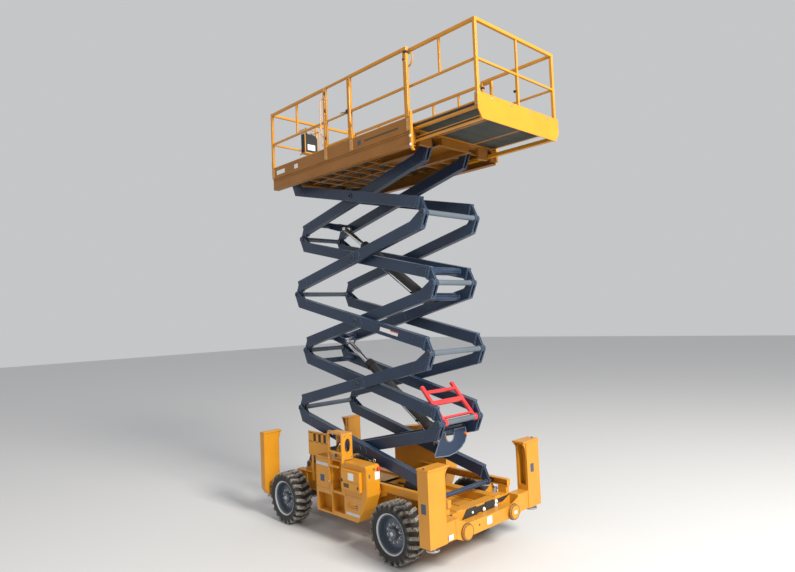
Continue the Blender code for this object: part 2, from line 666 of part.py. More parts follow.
def control_cover(mats):
    """Hinged cover of the ground control box."""
    x = STACK_X
    yo = -MOD_OUT - TOUCH
    s = [box(x + COVER_X, x + 0.480, yo - 0.050, yo, 0.85, 1.13)]
    return piece("ground_control_cover", s, mats["yellow"], (), (x + COVER_X, yo, 0.99))


# ---------------------------------------------------------------- platform
def deck(mats):
    x = STACK_X
    z = TOP_Z
    r, f, h = x + DECK_R, x + DECK_F, DECK_HALF
    s = [box(r + 0.004, f - 0.004, -h + 0.01, h - 0.01, z + 0.065, z + FLOOR_TOP),
         box(r, r + 0.018, -h, h, z - 0.02, z + TOE_TOP),
         box(f - 0.05, f - 0.004, -0.281, 0.281, z - 0.045, z + 0.070)]
    for m in (-1, 1):
        s.append(box(r + 0.002, f - 0.002, m * (h - 0.020), m * h, z - 0.137, z + 0.070))
        s.append(box(r + 0.002, f - 0.002, m * (h - 0.090), m * (h - 0.01), z - 0.137, z - 0.125))
        s.append(box(r, f, m * (h - 0.004), m * (h + 0.012), z + 0.045, z + TOE_TOP))
        s.append(box(f - 0.05, f - 0.004, m * 0.500, m * 0.715, z - 0.10, z + 0.072))
        s.append(box(f - 0.05, f - 0.004, m * 0.805, m * (h - 0.005), z - 0.10, z + 0.072))
        s.append(box(x + 0.40, f - 0.01, m * 0.270, m * 0.282, z - 0.045, z + 0.068))
        s.append(box(x + 0.40, f - 0.01, m * 0.275, m * 0.347, z - 0.045, z - 0.0335))
        s.append(box(X_REAR - 0.05, X_REAR + 0.05, m * (OUT_Y - LUG_HALF), m * (OUT_Y + LUG_HALF),
                     z - 0.04, z + 0.070))
        s.append(disc("y", (X_REAR, z), BOSS_R, m * (OUT_Y - LUG_HALF), m * (OUT_Y + LUG_HALF), 8))
        s.append(disc("y", (X_REAR, z), 0.046, m * (OUT_Y + ARM_W / 2 + 0.002), m * (OUT_Y + ARM_W / 2 + 0.012), 8))
        for px in (0.62, 0.92, 1.22, 1.50):
            s.append(box(x + px - 0.02, x + px + 0.02, m * 0.460, m * (h - 0.01), z + 0.005, z + 0.070))
    reach = OUT_Y + ARM_W / 2 + 0.008
    s.append(disc("y", (X_REAR, z), PIN_R, -reach, reach, 8))
    for k in range(6):
        px = X_REAR + JOIST_FROM + JOIST_STEP * k
        s.append(box(px - 0.02, px + 0.02, -h + 0.01, h - 0.01, z + 0.025, z + 0.070))
    return piece("platform_deck", s, mats["amber"], (), (X_REAR, 0.0, TOP_Z))


def post(x, y, z0, z1, t=TUBE):
    return box(x - t / 2, x + t / 2, y - t / 2, y + t / 2, z0, z1)


GATE_R = -0.100
GATE_F = 0.450


def guard_rails(mats):
    x = STACK_X
    z = TOP_Z
    zt = z + RAIL_H
    zm = z + 0.640
    base = z + TOE_TOP + TOUCH
    h = DECK_HALF + 0.004
    r = x + DECK_R + TUBE / 2
    f = x + DECK_F - TUBE / 2
    t = TUBE / 2
    s = [post(r, -h, base, zt),
         box(r - t, r + t, -h, h, zt - t, zt + t),
         box(r - t + 0.005, r + t - 0.005, -h, h, zm - 0.015, zm + 0.015),
         post(r, h, base, zt),
         box(r - t, f + t, h - t, h + t, zt - t, zt + t),
         box(r, f, h - 0.015, h + 0.015, zm - 0.015, zm + 0.015),
         post(f, h, base, zt + t)]
    for px in (-0.9, -0.1, 0.45, 1.0):
        s.append(post(x + px, h, base, zt, 0.030))
    # near side, split by the gate
    g0 = x + GATE_R - 0.030
    g1 = x + GATE_F + 0.030
    s += [box(r - t, g0 + t, -h - t, -h + t, zt - t, zt + t),
          box(r, g0, -h - 0.015, -h + 0.015, zm - 0.015, zm + 0.015),
          post(g0, -h, base, zt), post(x - 0.87, -h, zm, zt, 0.030)]
    s.append(post(r, 0.0, zm, zt, 0.030))
    rear = piece("guard_rail_rear", s, mats["yellow"], (), (X_REAR, 0.0, TOP_Z))
    q = [post(g1, -h, base, zt),
         box(g1 - t, f + t, -h - t, -h + t, zt - t, zt + t),
         box(g1, f, -h - 0.015, -h + 0.015, zm - 0.015, zm + 0.015),
         post(f, -h, base, zt + t)]
    near = piece("guard_rail_near", q, mats["yellow"], (), (X_REAR, 0.0, TOP_Z))
    gr = g0 + t + SIDE_PLAY
    gf = g1 - t - MOVE
    gz0 = base + 0.010
    zg = zt + t
    g = [box(gr, gr + 0.030, -h - 0.015, -h + 0.015, gz0, zg),
         box(gr, gf, -h - 0.015, -h + 0.015, zg - 0.030, zg),
         box(gf - 0.030, gf, -h - 0.015, -h + 0.015, gz0, zg),
         box(gr, gf, -h - 0.012, -h + 0.012, zm - 0.012, zm + 0.012),
         box(gr, gf, -h - 0.012, -h + 0.012, gz0, gz0 + 0.030)]
    gate = piece("entry_gate", g, mats["yellow"], (), (gr, -h + 0.015, gz0))
    return rear, near, gate


def roll_out(mats):
    x = STACK_X
    z = TOP_Z
    f = HALF_LEN
    e = EXT_HALF
    base = z + 0.082
    zt = z + RAIL_H
    zm = z + 0.670
    t = TUBE / 2
    rear = x + 1.545
    s = [box(x + 0.95, f - 0.010, -e + 0.01, e - 0.01, base, base + 0.014)]
    for m in (-1, 1):
        s.append(box(x + 0.956, x + 1.62, m * 0.48, m * 0.52, z + FLOOR_TOP + SIDE_PLAY, base + 0.006))
        s.append(box(x + 0.952, f - 0.008, m * (e - 0.030), m * (e + 0.012), base + 0.002, base + 0.080))
        s.append(box(x + 0.956, f - 0.008, m * 0.730, m * 0.790, z - 0.055, z - 0.005))
    toe = [(-e - 0.045, z + TOE_TOP + 0.02), (-e - 0.045, z + 0.05), (-e + 0.03, z - 0.06),
           (e - 0.03, z - 0.06), (e + 0.045, z + 0.05), (e + 0.045, z + TOE_TOP + 0.02)]
    s.append(prism(toe, f - 0.014, f, "x"))
    bottom = piece("roll_out_deck", s, mats["yellow"], (), (x, 0.0, z))
    fx = f - 0.014 - TOUCH - t
    lo = base + 0.080 + TOUCH
    q = [post(fx, -e, lo, zt),
         box(fx - t, fx + t, -e, e, zt - t, zt + t),
         post(fx, e, lo, zt),
         box(rear - t, fx + t, -e - t, -e + t, zt - t, zt + t),
         box(rear - t, fx + t, e - t, e + t, zt - t, zt + t),
         box(fx - 0.014, fx + 0.014, -e, e, zm - 0.014, zm + 0.014),
         box(rear, fx, -e - 0.014, -e + 0.014, zm - 0.014, zm + 0.014),
         box(rear, fx, e - 0.014, e + 0.014, zm - 0.014, zm + 0.014),
         post(rear, -e, lo, zt), post(rear, e, lo, zt),
         post(x + 2.160, -e, zm, zt, 0.028), post(x + 2.160, e, zm, zt, 0.028),
         post(fx, 0.0, lo + 0.10, zt, 0.028)]
    rails = piece("roll_out_rail", q, mats["yellow"], (), (x, 0.0, z))
    return bottom, rails


def control_box(mats):
    x = STACK_X + DECK_R + TUBE - 0.005 + TOUCH
    z = TOP_Z
    s = [box(x, x + 0.12, -0.34, -0.08, z + 0.58, z + 0.92)]
    return piece("platform_control_box", s, mats["black"], ())


# ---------------------------------------------------------------- build
def build():
    for ob in list(bpy.data.objects):
        bpy.data.objects.remove(ob, do_unlink=True)
    mats = paint()
    chassis(mats)
    axle_front(mats)
    axle_rear(mats)
    for m, side in ((-1, "near"), (1, "far")):
        knuckle(m, "knuckle_" + side, mats)
        wheel(FRONT_AX, m, "front_" + side, mats)
        wheel(REAR_AX, m, "rear_" + side, mats)
        jack_front(m, "front_jack_leg_" + side, mats)
        jack_rear(m, "rear_jack_leg_" + side, mats)
        foot(STACK_X + JACK_F, m * (JACK_FY + 0.02), JACK_BOT - 0.055, 0.035, 0.086, "front_foot_" + side, mats)
        foot(-HALF_LEN + JACK_RD / 2, m * JACK_RY, JACK_BOT - 0.150, 0.030, 0.060, "rear_foot_" + side, mats)
        locker(m, "locker_" + side, mats)
        bracket_front(m, "front_bracket_" + side, mats)
    beam_front(mats)
    beam_rear(mats)
    locker_hood(mats)
    step_frame(mats)
    control_cover(mats)
    for i in range(1, STAGES + 1):
        inner_frame(i, mats)
        outer_frame(i, mats)
    for i, tag in ((1, "low"), (3, "high")):
        barrel(i, "lift_barrel_" + tag, mats)
        rod(i, "lift_rod_" + tag, mats)
    prop(mats)
    deck(mats)
    guard_rails(mats)
    roll_out(mats)
    control_box(mats)


build()
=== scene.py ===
"""Rough-terrain scissor lift: finishes and small fittings on the packed frame."""
import bpy
import bmesh
import math
from mathutils import Matrix, Vector


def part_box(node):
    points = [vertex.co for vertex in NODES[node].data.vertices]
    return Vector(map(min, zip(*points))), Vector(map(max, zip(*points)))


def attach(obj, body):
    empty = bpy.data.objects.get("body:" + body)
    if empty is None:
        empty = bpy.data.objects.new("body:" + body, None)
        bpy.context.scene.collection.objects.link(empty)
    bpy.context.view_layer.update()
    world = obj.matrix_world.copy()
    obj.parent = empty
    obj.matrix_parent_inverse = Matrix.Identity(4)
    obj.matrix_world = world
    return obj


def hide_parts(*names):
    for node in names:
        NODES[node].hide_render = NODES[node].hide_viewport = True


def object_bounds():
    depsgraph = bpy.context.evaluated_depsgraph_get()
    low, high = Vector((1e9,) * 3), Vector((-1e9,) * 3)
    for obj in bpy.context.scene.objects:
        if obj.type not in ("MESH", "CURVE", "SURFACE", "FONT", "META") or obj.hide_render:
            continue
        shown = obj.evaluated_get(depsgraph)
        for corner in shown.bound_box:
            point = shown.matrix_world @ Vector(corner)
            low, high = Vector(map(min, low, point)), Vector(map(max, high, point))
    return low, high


bl_info = {
    "name": "Scissor lift finishes",
    "version": (1, 0, 0),
    "blender": (4, 5, 0),
    "location": "3D View > Sidebar > Scissor lift",
    "description": "Paint, tyres, bolts, hoses and small fittings for a scissor lift frame",
    "category": "Object",
}

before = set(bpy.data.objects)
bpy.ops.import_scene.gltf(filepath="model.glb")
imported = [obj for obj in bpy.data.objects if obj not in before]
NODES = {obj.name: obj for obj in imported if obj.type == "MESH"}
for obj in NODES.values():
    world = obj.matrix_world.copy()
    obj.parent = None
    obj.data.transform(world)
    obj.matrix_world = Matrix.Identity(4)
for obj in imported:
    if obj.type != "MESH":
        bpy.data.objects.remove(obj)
CAD_LOW, CAD_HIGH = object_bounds()

# ------------------------------------------------------------ places read from the frame
BOSS = 0.055            # radius of an arm's end about its pin
LOW1, HIGH1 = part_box("outer_arms_1")
X_REAR = LOW1.x + BOSS
X_FRONT = HIGH1.x - BOSS
PIVOT_Z = LOW1.z + BOSS
MID_X = (X_REAR + X_FRONT) / 2
ARM_W = 0.090           # arm tube across and deep
ARM_D = 0.165
PITCH = 0.250           # how far the tubes of two stages lie apart when folded
JOIST_DROP = 0.137      # underside of the deck's joists below the upper pins
DECK_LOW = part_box("platform_deck")[0]
TOP_Z = DECK_LOW.z + JOIST_DROP
STAGES = 5
RISE = (TOP_Z - PIVOT_Z) / STAGES
ARM_L = math.hypot(X_FRONT - X_REAR, RISE)
OUT_Y = 0.538           # middle of the outer and of the inner arm tubes
IN_Y = 0.402
PROP_L = 0.620
PROP_ANGLE = math.radians(131.5)
SIDES = (("near", -1), ("far", 1))


def turns(count, first=0.0):
    """Cosine and sine of evenly spaced angles in a full turn, beginning at step first."""
    angles = [2 * math.pi * (k + first) / count for k in range(count)]
    return [(math.cos(a), math.sin(a)) for a in angles]


def circle(cx, cz, r, n=16):
    return [(cx + r * c, cz + r * s) for c, s in turns(n)]


def level(k):
    return PIVOT_Z + k * RISE


# ------------------------------------------------------------ mesh helpers
class Shape:
    """Closed solids collected into one mesh, each with the finish in use when it was added."""

    def __init__(self, finish):
        self.bm = bmesh.new()
        self.finishes = [finish]
        self.index = 0

    def use(self, finish):
        if finish not in self.finishes:
            self.finishes.append(finish)
        self.index = self.finishes.index(finish)

    def faces(self, rings, closed=False):
        """Skin between rings of points, with end caps unless the rings close on themselves."""
        vs = [[self.bm.verts.new(p) for p in ring] for ring in rings]
        made = []
        n = len(vs[0])
        pairs = list(zip(vs[:-1], vs[1:]))
        if closed:
            pairs.append((vs[-1], vs[0]))
        for a, b in pairs:
            for i in range(n):
                j = (i + 1) % n
                made.append(self.bm.faces.new((a[i], a[j], b[j], b[i])))
        if not closed:
            made.append(self.bm.faces.new(list(reversed(vs[0]))))
            made.append(self.bm.faces.new(vs[-1]))
        for f in made:
            f.material_index = self.index

    def box(self, x0, x1, y0, y1, z0, z1):
        x0, x1 = min(x0, x1), max(x0, x1)
        y0, y1 = min(y0, y1), max(y0, y1)
        z0, z1 = min(z0, z1), max(z0, z1)
        self.faces([[(x0, y0, z), (x1, y0, z), (x1, y1, z), (x0, y1, z)] for z in (z0, z1)])

    def boxes(self, origin, *rows):
        """Boxes measured from an origin; a word between them changes the finish."""
        ox, oy, oz = origin
        for row in rows:
            if isinstance(row, str):
                self.use(row)
            else:
                x0, x1, y0, y1, z0, z1 = row
                self.box(ox + x0, ox + x1, oy + y0, oy + y1, oz + z0, oz + z1)

    def prism(self, outline, axis, a0, a1):
        """Outline in the two other axes, pushed from a0 to a1 along axis."""
        def at(p, a):
            if axis == "x":
                return (a, p[0], p[1])
            if axis == "y":
                return (p[0], a, p[1])
            return (p[0], p[1], a)
        self.faces([[at(p, a) for p in outline] for a in (a0, a1)])

    def pipe(self, points, radius, sides=10, closed=False):
        """Round bar along a path; the section keeps its turn from point to point."""
        pts = [Vector(p) for p in points]
        n = len(pts)
        rings = []
        up = None
        for i, p in enumerate(pts):
            if closed:
                t = pts[(i + 1) % n] - pts[i - 1]
            else:
                t = pts[min(i + 1, n - 1)] - pts[max(i - 1, 0)]
            t.normalize()
            if up is None:
                up = t.orthogonal().normalized()
            up = (up - t * up.dot(t)).normalized()
            side = t.cross(up)
            r = radius[i] if isinstance(radius, (list, tuple)) else radius
            rings.append([p + (up * c + side * s) * r for c, s in turns(sides)])
        self.faces(rings, closed)

    def knob(self, axis, base, rows, sides):
        """Round knob: rows of (distance along the axis, radius) from a base point."""
        unit = {"x": (1, 0, 0), "y": (0, 1, 0), "z": (0, 0, 1)}[axis]
        points = [[b + d * u for b, u in zip(base, unit)] for d, _ in rows]
        self.pipe(points, [r for _, r in rows], sides)

    def disc(self, axis, centre, radius, a0, a1, sides=20):
        """Round plate across an axis; centre is given in the two other axes."""
        self.prism(circle(*centre, radius, sides), axis, a0, a1)

    def turned(self, profile, centre, sides=48):
        """Closed profile of (radius, along Y) spun about an axis along Y."""
        cx, cy, cz = centre
        rings = [[(cx + r * c, cy + y, cz + r * s) for r, y in profile] for c, s in turns(sides)]
        self.faces(rings, closed=True)


def filleted(points, radius, steps=5):
    """The path with each corner turned into a short arc."""
    pts = [Vector(p) for p in points]
    out = [pts[0]]
    for a, b, c in zip(pts[:-2], pts[1:-1], pts[2:]):
        u, v = (a - b), (c - b)
        r = min(radius, u.length * 0.49, v.length * 0.49)
        p, q = b + u.normalized() * r, b + v.normalized() * r
        for k in range(steps + 1):
            t = k / steps
            out.append(p.lerp(b, t).lerp(b.lerp(q, t), t))
    out.append(pts[-1])
    return out


def mesh_of(shape, name):
    """The shape as a mesh with its faces outward; the shape itself is used up."""
    bmesh.ops.recalc_face_normals(shape.bm, faces=shape.bm.faces)
    mesh = bpy.data.meshes.new(name)
    shape.bm.to_mesh(mesh)
    shape.bm.free()
    return mesh


def finished(name, shape, body, bevel=0.0, smooth=35.0, stands_for=()):
    """Turns a shape into a named piece on its body."""
    mesh_piece(name, mesh_of(shape, name), shape.finishes, body, bevel, smooth, stands_for)


def bevelled(ob, width, harden):
    """Adds small rounded edges as a modifier."""
    m = ob.modifiers.new("edges", "BEVEL")
    m.width = width
    m.segments = 2
    m.limit_method = "ANGLE"
    m.angle_limit = math.radians(40)
    m.harden_normals = harden


def mesh_piece(name, mesh, finishes, body, bevel=0.0, smooth=35.0, stands_for=()):
    """Links a mesh as a piece that rides a body."""
    ob = bpy.data.objects.new(name, mesh)
    bpy.context.scene.collection.objects.link(ob)
    if len(mesh.materials):
        mesh.materials.clear()
    for f in finishes:
        mesh.materials.append(finish(f))
    for p in mesh.polygons:
        p.use_smooth = True
    mesh.set_sharp_from_angle(angle=math.radians(smooth))
    if bevel:
        bevelled(ob, bevel, True)
    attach(ob, body)
    if stands_for:
        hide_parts(*stands_for)


def rounded(name, width):
    """Small rounded edges on a frame node, whose own mesh stays as it is."""
    ob = NODES[name]
    weld = ob.modifiers.new("weld", "WELD")
    weld.merge_threshold = 0.00002
    bevelled(ob, width, False)


def coat(part, name):
    """Puts a finish on a frame node."""
    ob = NODES[part]
    if ob.material_slots:
        for s in ob.material_slots:
            s.material = finish(name)
    else:
        ob.data.materials.append(finish(name))


def hull(points):
    """Convex outline round a set of flat points."""
    pts = sorted(set((round(p[0], 6), round(p[1], 6)) for p in points))

    def half(seq):
        out = []
        for p in seq:
            while len(out) > 1 and ((out[-1][0] - out[-2][0]) * (p[1] - out[-2][1])
                                    - (out[-1][1] - out[-2][1]) * (p[0] - out[-2][0])) <= 0:
                out.pop()
            out.append(p)
        return out[:-1]
    return half(pts) + half(pts[::-1])


# ------------------------------------------------------------ shader groups
NUMBER = "NodeSocketFloat"
WHOLE = "NodeSocketInt"
VECTOR = "NodeSocketVector"
COLOUR = "NodeSocketColor"


def add_inputs(tree, rows):
    """Named inputs, each with the value it starts from."""
    for n, kind, value in rows:
        tree.interface.new_socket(name=n, in_out="INPUT", socket_type=kind).default_value = value


def new_group(name, inputs, outputs):
    tree = bpy.data.node_groups.new(name, "ShaderNodeTree")
    add_inputs(tree, inputs)
    for n, kind in outputs:
        tree.interface.new_socket(name=n, in_out="OUTPUT", socket_type=kind)
    return tree, tree.nodes.new("NodeGroupInput"), tree.nodes.new("NodeGroupOutput")


def feed(tree, socket, value):
    """Links another node's output to an input, or sets a plain value on it."""
    if hasattr(value, "is_output"):
        tree.links.new(value, socket)
    else:
        socket.default_value = value


def node(tree, kind, **values):
    """Adds a node; names with a capital or a leading underscore are inputs, others are settings."""
    n = tree.nodes.new(kind)
    for k, v in values.items():
        if k[0].isupper() or k[0] == "_":
            key = k.lstrip("_")
            feed(tree, n.inputs[int(key) if key.isdigit() else key.replace("_", " ")], v)
        else:
            setattr(n, k, v)
    return n


def mixed(tree, fac, a, b):
    """Colour mix with sockets or plain values."""
    m = tree.nodes.new("ShaderNodeMix")
    m.data_type = "RGBA"
    for key, v in ((0, fac), (6, a), (7, b)):
        feed(tree, m.inputs[key], v)
    return m.outputs[2]


def maths(tree, op, a, b=0.0, clamp=False):
    m = tree.nodes.new("ShaderNodeMath")
    m.operation = op
    m.use_clamp = clamp
    for key, v in ((0, a), (1, b)):
        feed(tree, m.inputs[key], v)
    return m.outputs[0]


def edge_group():
    """Mask of worn outer edges and a normal that rounds them."""
    if "edge_wear" in bpy.data.node_groups:
        return bpy.data.node_groups["edge_wear"]
    t, i, o = new_group("edge_wear", [("Radius", NUMBER, 0.006), ("Breakup", NUMBER, 26.0)],
                        [("Mask", NUMBER), ("Normal", VECTOR)])
    co = node(t, "ShaderNodeTexCoord")
    bev = node(t, "ShaderNodeBevel", samples=3, Radius=i.outputs["Radius"])
    geo = node(t, "ShaderNodeNewGeometry")
    dot = node(t, "ShaderNodeVectorMath", operation="DOT_PRODUCT", _0=bev.outputs[0],
               _1=geo.outputs["Normal"])
    away = maths(t, "SUBTRACT", 1.0, dot.outputs["Value"], True)
    noise = node(t, "ShaderNodeTexNoise", Vector=co.outputs["Object"], Scale=i.outputs["Breakup"],
                 Detail=4.0, Roughness=0.65)
    wear_and_highlight = maths(t, "MULTIPLY", maths(t, "MULTIPLY", away, 6.0), noise.outputs["Fac"], True)
    t.links.new(wear_and_highlight, o.inputs["Mask"])
    t.links.new(bev.outputs[0], o.inputs["Normal"])
    return t


def grime_group():
    """Uneven tone, dust that settles low and on upward faces, and a fine skin height."""
    if "paint_grime" in bpy.data.node_groups:
        return bpy.data.node_groups["paint_grime"]
    t, i, o = new_group(
        "paint_grime",
        [("Colour", COLOUR, (0.8, 0.8, 0.8, 1)), ("Shade", COLOUR, (0.4, 0.4, 0.4, 1)),
         ("Dust", COLOUR, (0.42, 0.36, 0.27, 1)), ("Tone", NUMBER, 0.35),
         ("Dust amount", NUMBER, 0.3), ("Gloss", NUMBER, 0.3)],
        [("Colour", COLOUR), ("Roughness", NUMBER), ("Height", NUMBER)])
    co = node(t, "ShaderNodeTexCoord").outputs["Object"]
    broad = node(t, "ShaderNodeTexNoise", Vector=co, Scale=2.3, Detail=3.0, Roughness=0.6).outputs["Fac"]
    fine = node(t, "ShaderNodeTexNoise", Vector=co, Scale=38.0, Detail=5.0, Roughness=0.7).outputs["Fac"]
    skin = node(t, "ShaderNodeTexNoise", Vector=co, Scale=420.0, Detail=2.0).outputs["Fac"]
    tone = node(t, "ShaderNodeMapRange", Value=broad, From_Min=0.35, From_Max=0.72).outputs[0]
    tone = maths(t, "MULTIPLY", tone, i.outputs["Tone"])
    colour = mixed(t, tone, i.outputs["Colour"], i.outputs["Shade"])
    speck = node(t, "ShaderNodeMapRange", Value=fine, From_Min=0.62, From_Max=0.80).outputs[0]
    place = node(t, "ShaderNodeSeparateXYZ", Vector=co)
    low = node(t, "ShaderNodeMapRange", Value=place.outputs["Z"], From_Min=1.1, From_Max=0.1).outputs[0]
    facing = node(t, "ShaderNodeSeparateXYZ", Vector=node(t, "ShaderNodeNewGeometry").outputs["Normal"])
    up = maths(t, "MULTIPLY", maths(t, "MAXIMUM", facing.outputs["Z"], 0.0), 0.55)
    dust = maths(t, "MULTIPLY", maths(t, "ADD", maths(t, "ADD", low, up), 0.15), i.outputs["Dust amount"])
    patch = maths(t, "ADD", maths(t, "MULTIPLY", fine, 0.9), maths(t, "MULTIPLY", speck, 0.5))
    dust = maths(t, "MULTIPLY", dust, patch, True)
    colour = mixed(t, dust, colour, i.outputs["Dust"])
    rough = maths(t, "ADD", i.outputs["Gloss"], maths(t, "MULTIPLY", dust, 0.5))
    rough = maths(t, "ADD", rough, maths(t, "MULTIPLY", broad, 0.12), True)
    height = maths(t, "ADD", maths(t, "MULTIPLY", skin, 0.35), maths(t, "MULTIPLY", fine, 0.65))
    t.links.new(colour, o.inputs["Colour"])
    t.links.new(rough, o.inputs["Roughness"])
    t.links.new(height, o.inputs["Height"])
    return t


# name: colour, shaded colour, dust, tone, dust amount, gloss, metal, edge colour for worn paint and painted
# highlight, edge radius, bump, coat
FINISHES = {
    "yellow": ((0.66, 0.275, 0.008), (0.48, 0.185, 0.006), (0.36, 0.25, 0.12), 0.45, 0.22, 0.34, 0.0,
               (0.76, 0.36, 0.045), 0.006, 0.12, 0.18),
    # darker copy of the yellow: painted shade on the deck, its sides and the parts under it
    "amber": ((0.335, 0.125, 0.006), (0.225, 0.080, 0.004), (0.22, 0.15, 0.08), 0.50, 0.22, 0.42, 0.0,
              (0.70, 0.38, 0.07), 0.006, 0.12, 0.08),
    "arm": ((0.0120, 0.0320, 0.0740), (0.0065, 0.0165, 0.0400), (0.13, 0.12, 0.11), 0.55, 0.10, 0.34, 0.0,
            (0.34, 0.42, 0.52), 0.007, 0.15, 0.12),
    # lighter copy of the arm paint: painted highlight for the lit tops of the cross tubes and the guard's rim
    "tube": ((0.125, 0.160, 0.200), (0.075, 0.100, 0.130), (0.30, 0.28, 0.24), 0.40, 0.18, 0.33, 0.2,
             (0.42, 0.46, 0.50), 0.005, 0.10, 0.25),
    "black": ((0.014, 0.015, 0.017), (0.008, 0.008, 0.009), (0.18, 0.16, 0.13), 0.45, 0.28, 0.45, 0.0,
              (0.10, 0.10, 0.11), 0.004, 0.20, 0.0),
    "steel": ((0.48, 0.49, 0.50), (0.32, 0.33, 0.34), (0.34, 0.30, 0.24), 0.40, 0.22, 0.30, 0.9,
              (0.72, 0.72, 0.72), 0.003, 0.14, 0.0),
    "chrome": ((0.78, 0.79, 0.80), (0.70, 0.71, 0.72), (0.40, 0.37, 0.32), 0.25, 0.05, 0.10, 1.0,
               (0.85, 0.85, 0.85), 0.002, 0.04, 0.0),
    "red": ((0.74, 0.035, 0.040), (0.55, 0.022, 0.026), (0.45, 0.32, 0.26), 0.35, 0.14, 0.32, 0.0,
            (0.90, 0.22, 0.20), 0.004, 0.12, 0.30),
    "rim": ((0.060, 0.090, 0.140), (0.036, 0.054, 0.085), (0.30, 0.28, 0.25), 0.45, 0.34, 0.36, 0.1,
            (0.38, 0.42, 0.47), 0.004, 0.15, 0.20),
    "ring": ((0.60, 0.63, 0.66), (0.46, 0.49, 0.52), (0.40, 0.36, 0.29), 0.35, 0.40, 0.33, 0.5,
             (0.65, 0.68, 0.70), 0.003, 0.12, 0.10),
    "deck": ((0.22, 0.25, 0.22), (0.15, 0.17, 0.15), (0.36, 0.33, 0.27), 0.45, 0.35, 0.50, 0.2,
             (0.40, 0.42, 0.40), 0.003, 0.30, 0.0),
    "label": ((0.78, 0.79, 0.78), (0.66, 0.67, 0.66), (0.45, 0.42, 0.36), 0.30, 0.22, 0.42, 0.0,
              (0.85, 0.85, 0.85), 0.002, 0.05, 0.10),
    "label_blue": ((0.055, 0.085, 0.130), (0.040, 0.062, 0.098), (0.30, 0.27, 0.22), 0.30, 0.16, 0.60, 0.0,
                   (0.12, 0.16, 0.20), 0.002, 0.05, 0.0),
    # near-black sheet: painted shade on the undersides of the decks
    "under_sheet": ((0.040, 0.046, 0.034), (0.022, 0.026, 0.020), (0.12, 0.11, 0.08), 0.60, 0.30, 0.55, 0.0,
                    (0.10, 0.11, 0.08), 0.003, 0.20, 0.0),
    "label_dark": ((0.100, 0.062, 0.022), (0.070, 0.044, 0.016), (0.30, 0.22, 0.12), 0.30, 0.20, 0.65, 0.0,
                   (0.20, 0.15, 0.07), 0.002, 0.05, 0.0),
    "lamp": ((0.85, 0.17, 0.010), (0.60, 0.10, 0.006), (0.45, 0.30, 0.20), 0.30, 0.10, 0.16, 0.0,
             (0.95, 0.40, 0.15), 0.002, 0.04, 0.60),
    "hose": ((0.020, 0.021, 0.023), (0.012, 0.012, 0.013), (0.20, 0.18, 0.15), 0.40, 0.22, 0.48, 0.0,
             (0.06, 0.06, 0.065), 0.002, 0.35, 0.0),
}


def new_material(name, colour, shade, dust, tone, dusty, gloss):
    """Material whose colour and roughness come from the grime group."""
    m = bpy.data.materials.new(name)
    m.use_nodes = True
    m["ready"] = True
    t = m.node_tree
    g = t.nodes.new("ShaderNodeGroup")
    g.node_tree = grime_group()
    for key, v in (("Colour", colour + (1,)), ("Shade", shade + (1,)), ("Dust", dust + (1,)), ("Tone", tone),
                   ("Dust amount", dusty), ("Gloss", gloss)):
        g.inputs[key].default_value = v
    return m, t, t.nodes["Principled BSDF"], g


def finish(name):
    """The material of that name, made the first time it is asked for."""
    if name in bpy.data.materials and bpy.data.materials[name].get("ready"):
        return bpy.data.materials[name]
    if name == "rubber":
        return rubber_finish()
    colour, shade, dust, tone, dusty, gloss, metal, wear_and_highlight, radius, bump, clear = FINISHES[name]
    if name in ("yellow", "amber", "arm"):
        colour = tuple(getattr(bpy.context.scene.lift_paint, name))
    m, t, p, g = new_material(name, colour, shade, dust, tone, dusty, gloss)
    p.inputs["Metallic"].default_value = metal
    p.inputs["Coat Weight"].default_value = clear
    p.inputs["Coat Roughness"].default_value = 0.12
    e = t.nodes.new("ShaderNodeGroup")
    e.node_tree = edge_group()
    e.inputs["Radius"].default_value = radius
    # the outer edges take the lighter edge colour: worn paint and a painted highlight
    t.links.new(mixed(t, e.outputs["Mask"], g.outputs["Colour"], wear_and_highlight + (1,)), p.inputs["Base Color"])
    t.links.new(g.outputs["Roughness"], p.inputs["Roughness"])
    b = node(t, "ShaderNodeBump", Strength=bump, Distance=0.002, Height=g.outputs["Height"],
             Normal=e.outputs["Normal"])
    t.links.new(b.outputs[0], p.inputs["Normal"])
    return m


def rubber_finish():
    """Black tyre rubber whose tread faces carry dry earth, by the mesh's own tread value."""
    earth_colour = (0.46, 0.43, 0.375, 1)
    m, t, p, g = new_material("rubber", (0.018, 0.018, 0.019), (0.010, 0.010, 0.011), (0.16, 0.15, 0.13),
                              0.5, 0.18, 0.60)
    a = node(t, "ShaderNodeAttribute", attribute_name="tread")
    co = node(t, "ShaderNodeTexCoord").outputs["Object"]
    n = node(t, "ShaderNodeTexNoise", Vector=co, Scale=30.0, Detail=6.0, Roughness=0.7).outputs["Fac"]
    ragged = node(t, "ShaderNodeMapRange", Value=n, From_Min=0.36, From_Max=0.60).outputs[0]
    earth = maths(t, "MULTIPLY", maths(t, "MULTIPLY", a.outputs["Fac"], ragged), 0.85, True)
    rough = maths(t, "ADD", g.outputs["Roughness"], maths(t, "MULTIPLY", earth, 0.2), True)
    t.links.new(mixed(t, earth, g.outputs["Colour"], earth_colour), p.inputs["Base Color"])
    t.links.new(rough, p.inputs["Roughness"])
    b = node(t, "ShaderNodeBump", Strength=0.5, Distance=0.003, Height=g.outputs["Height"])
    t.links.new(b.outputs[0], p.inputs["Normal"])
    return m


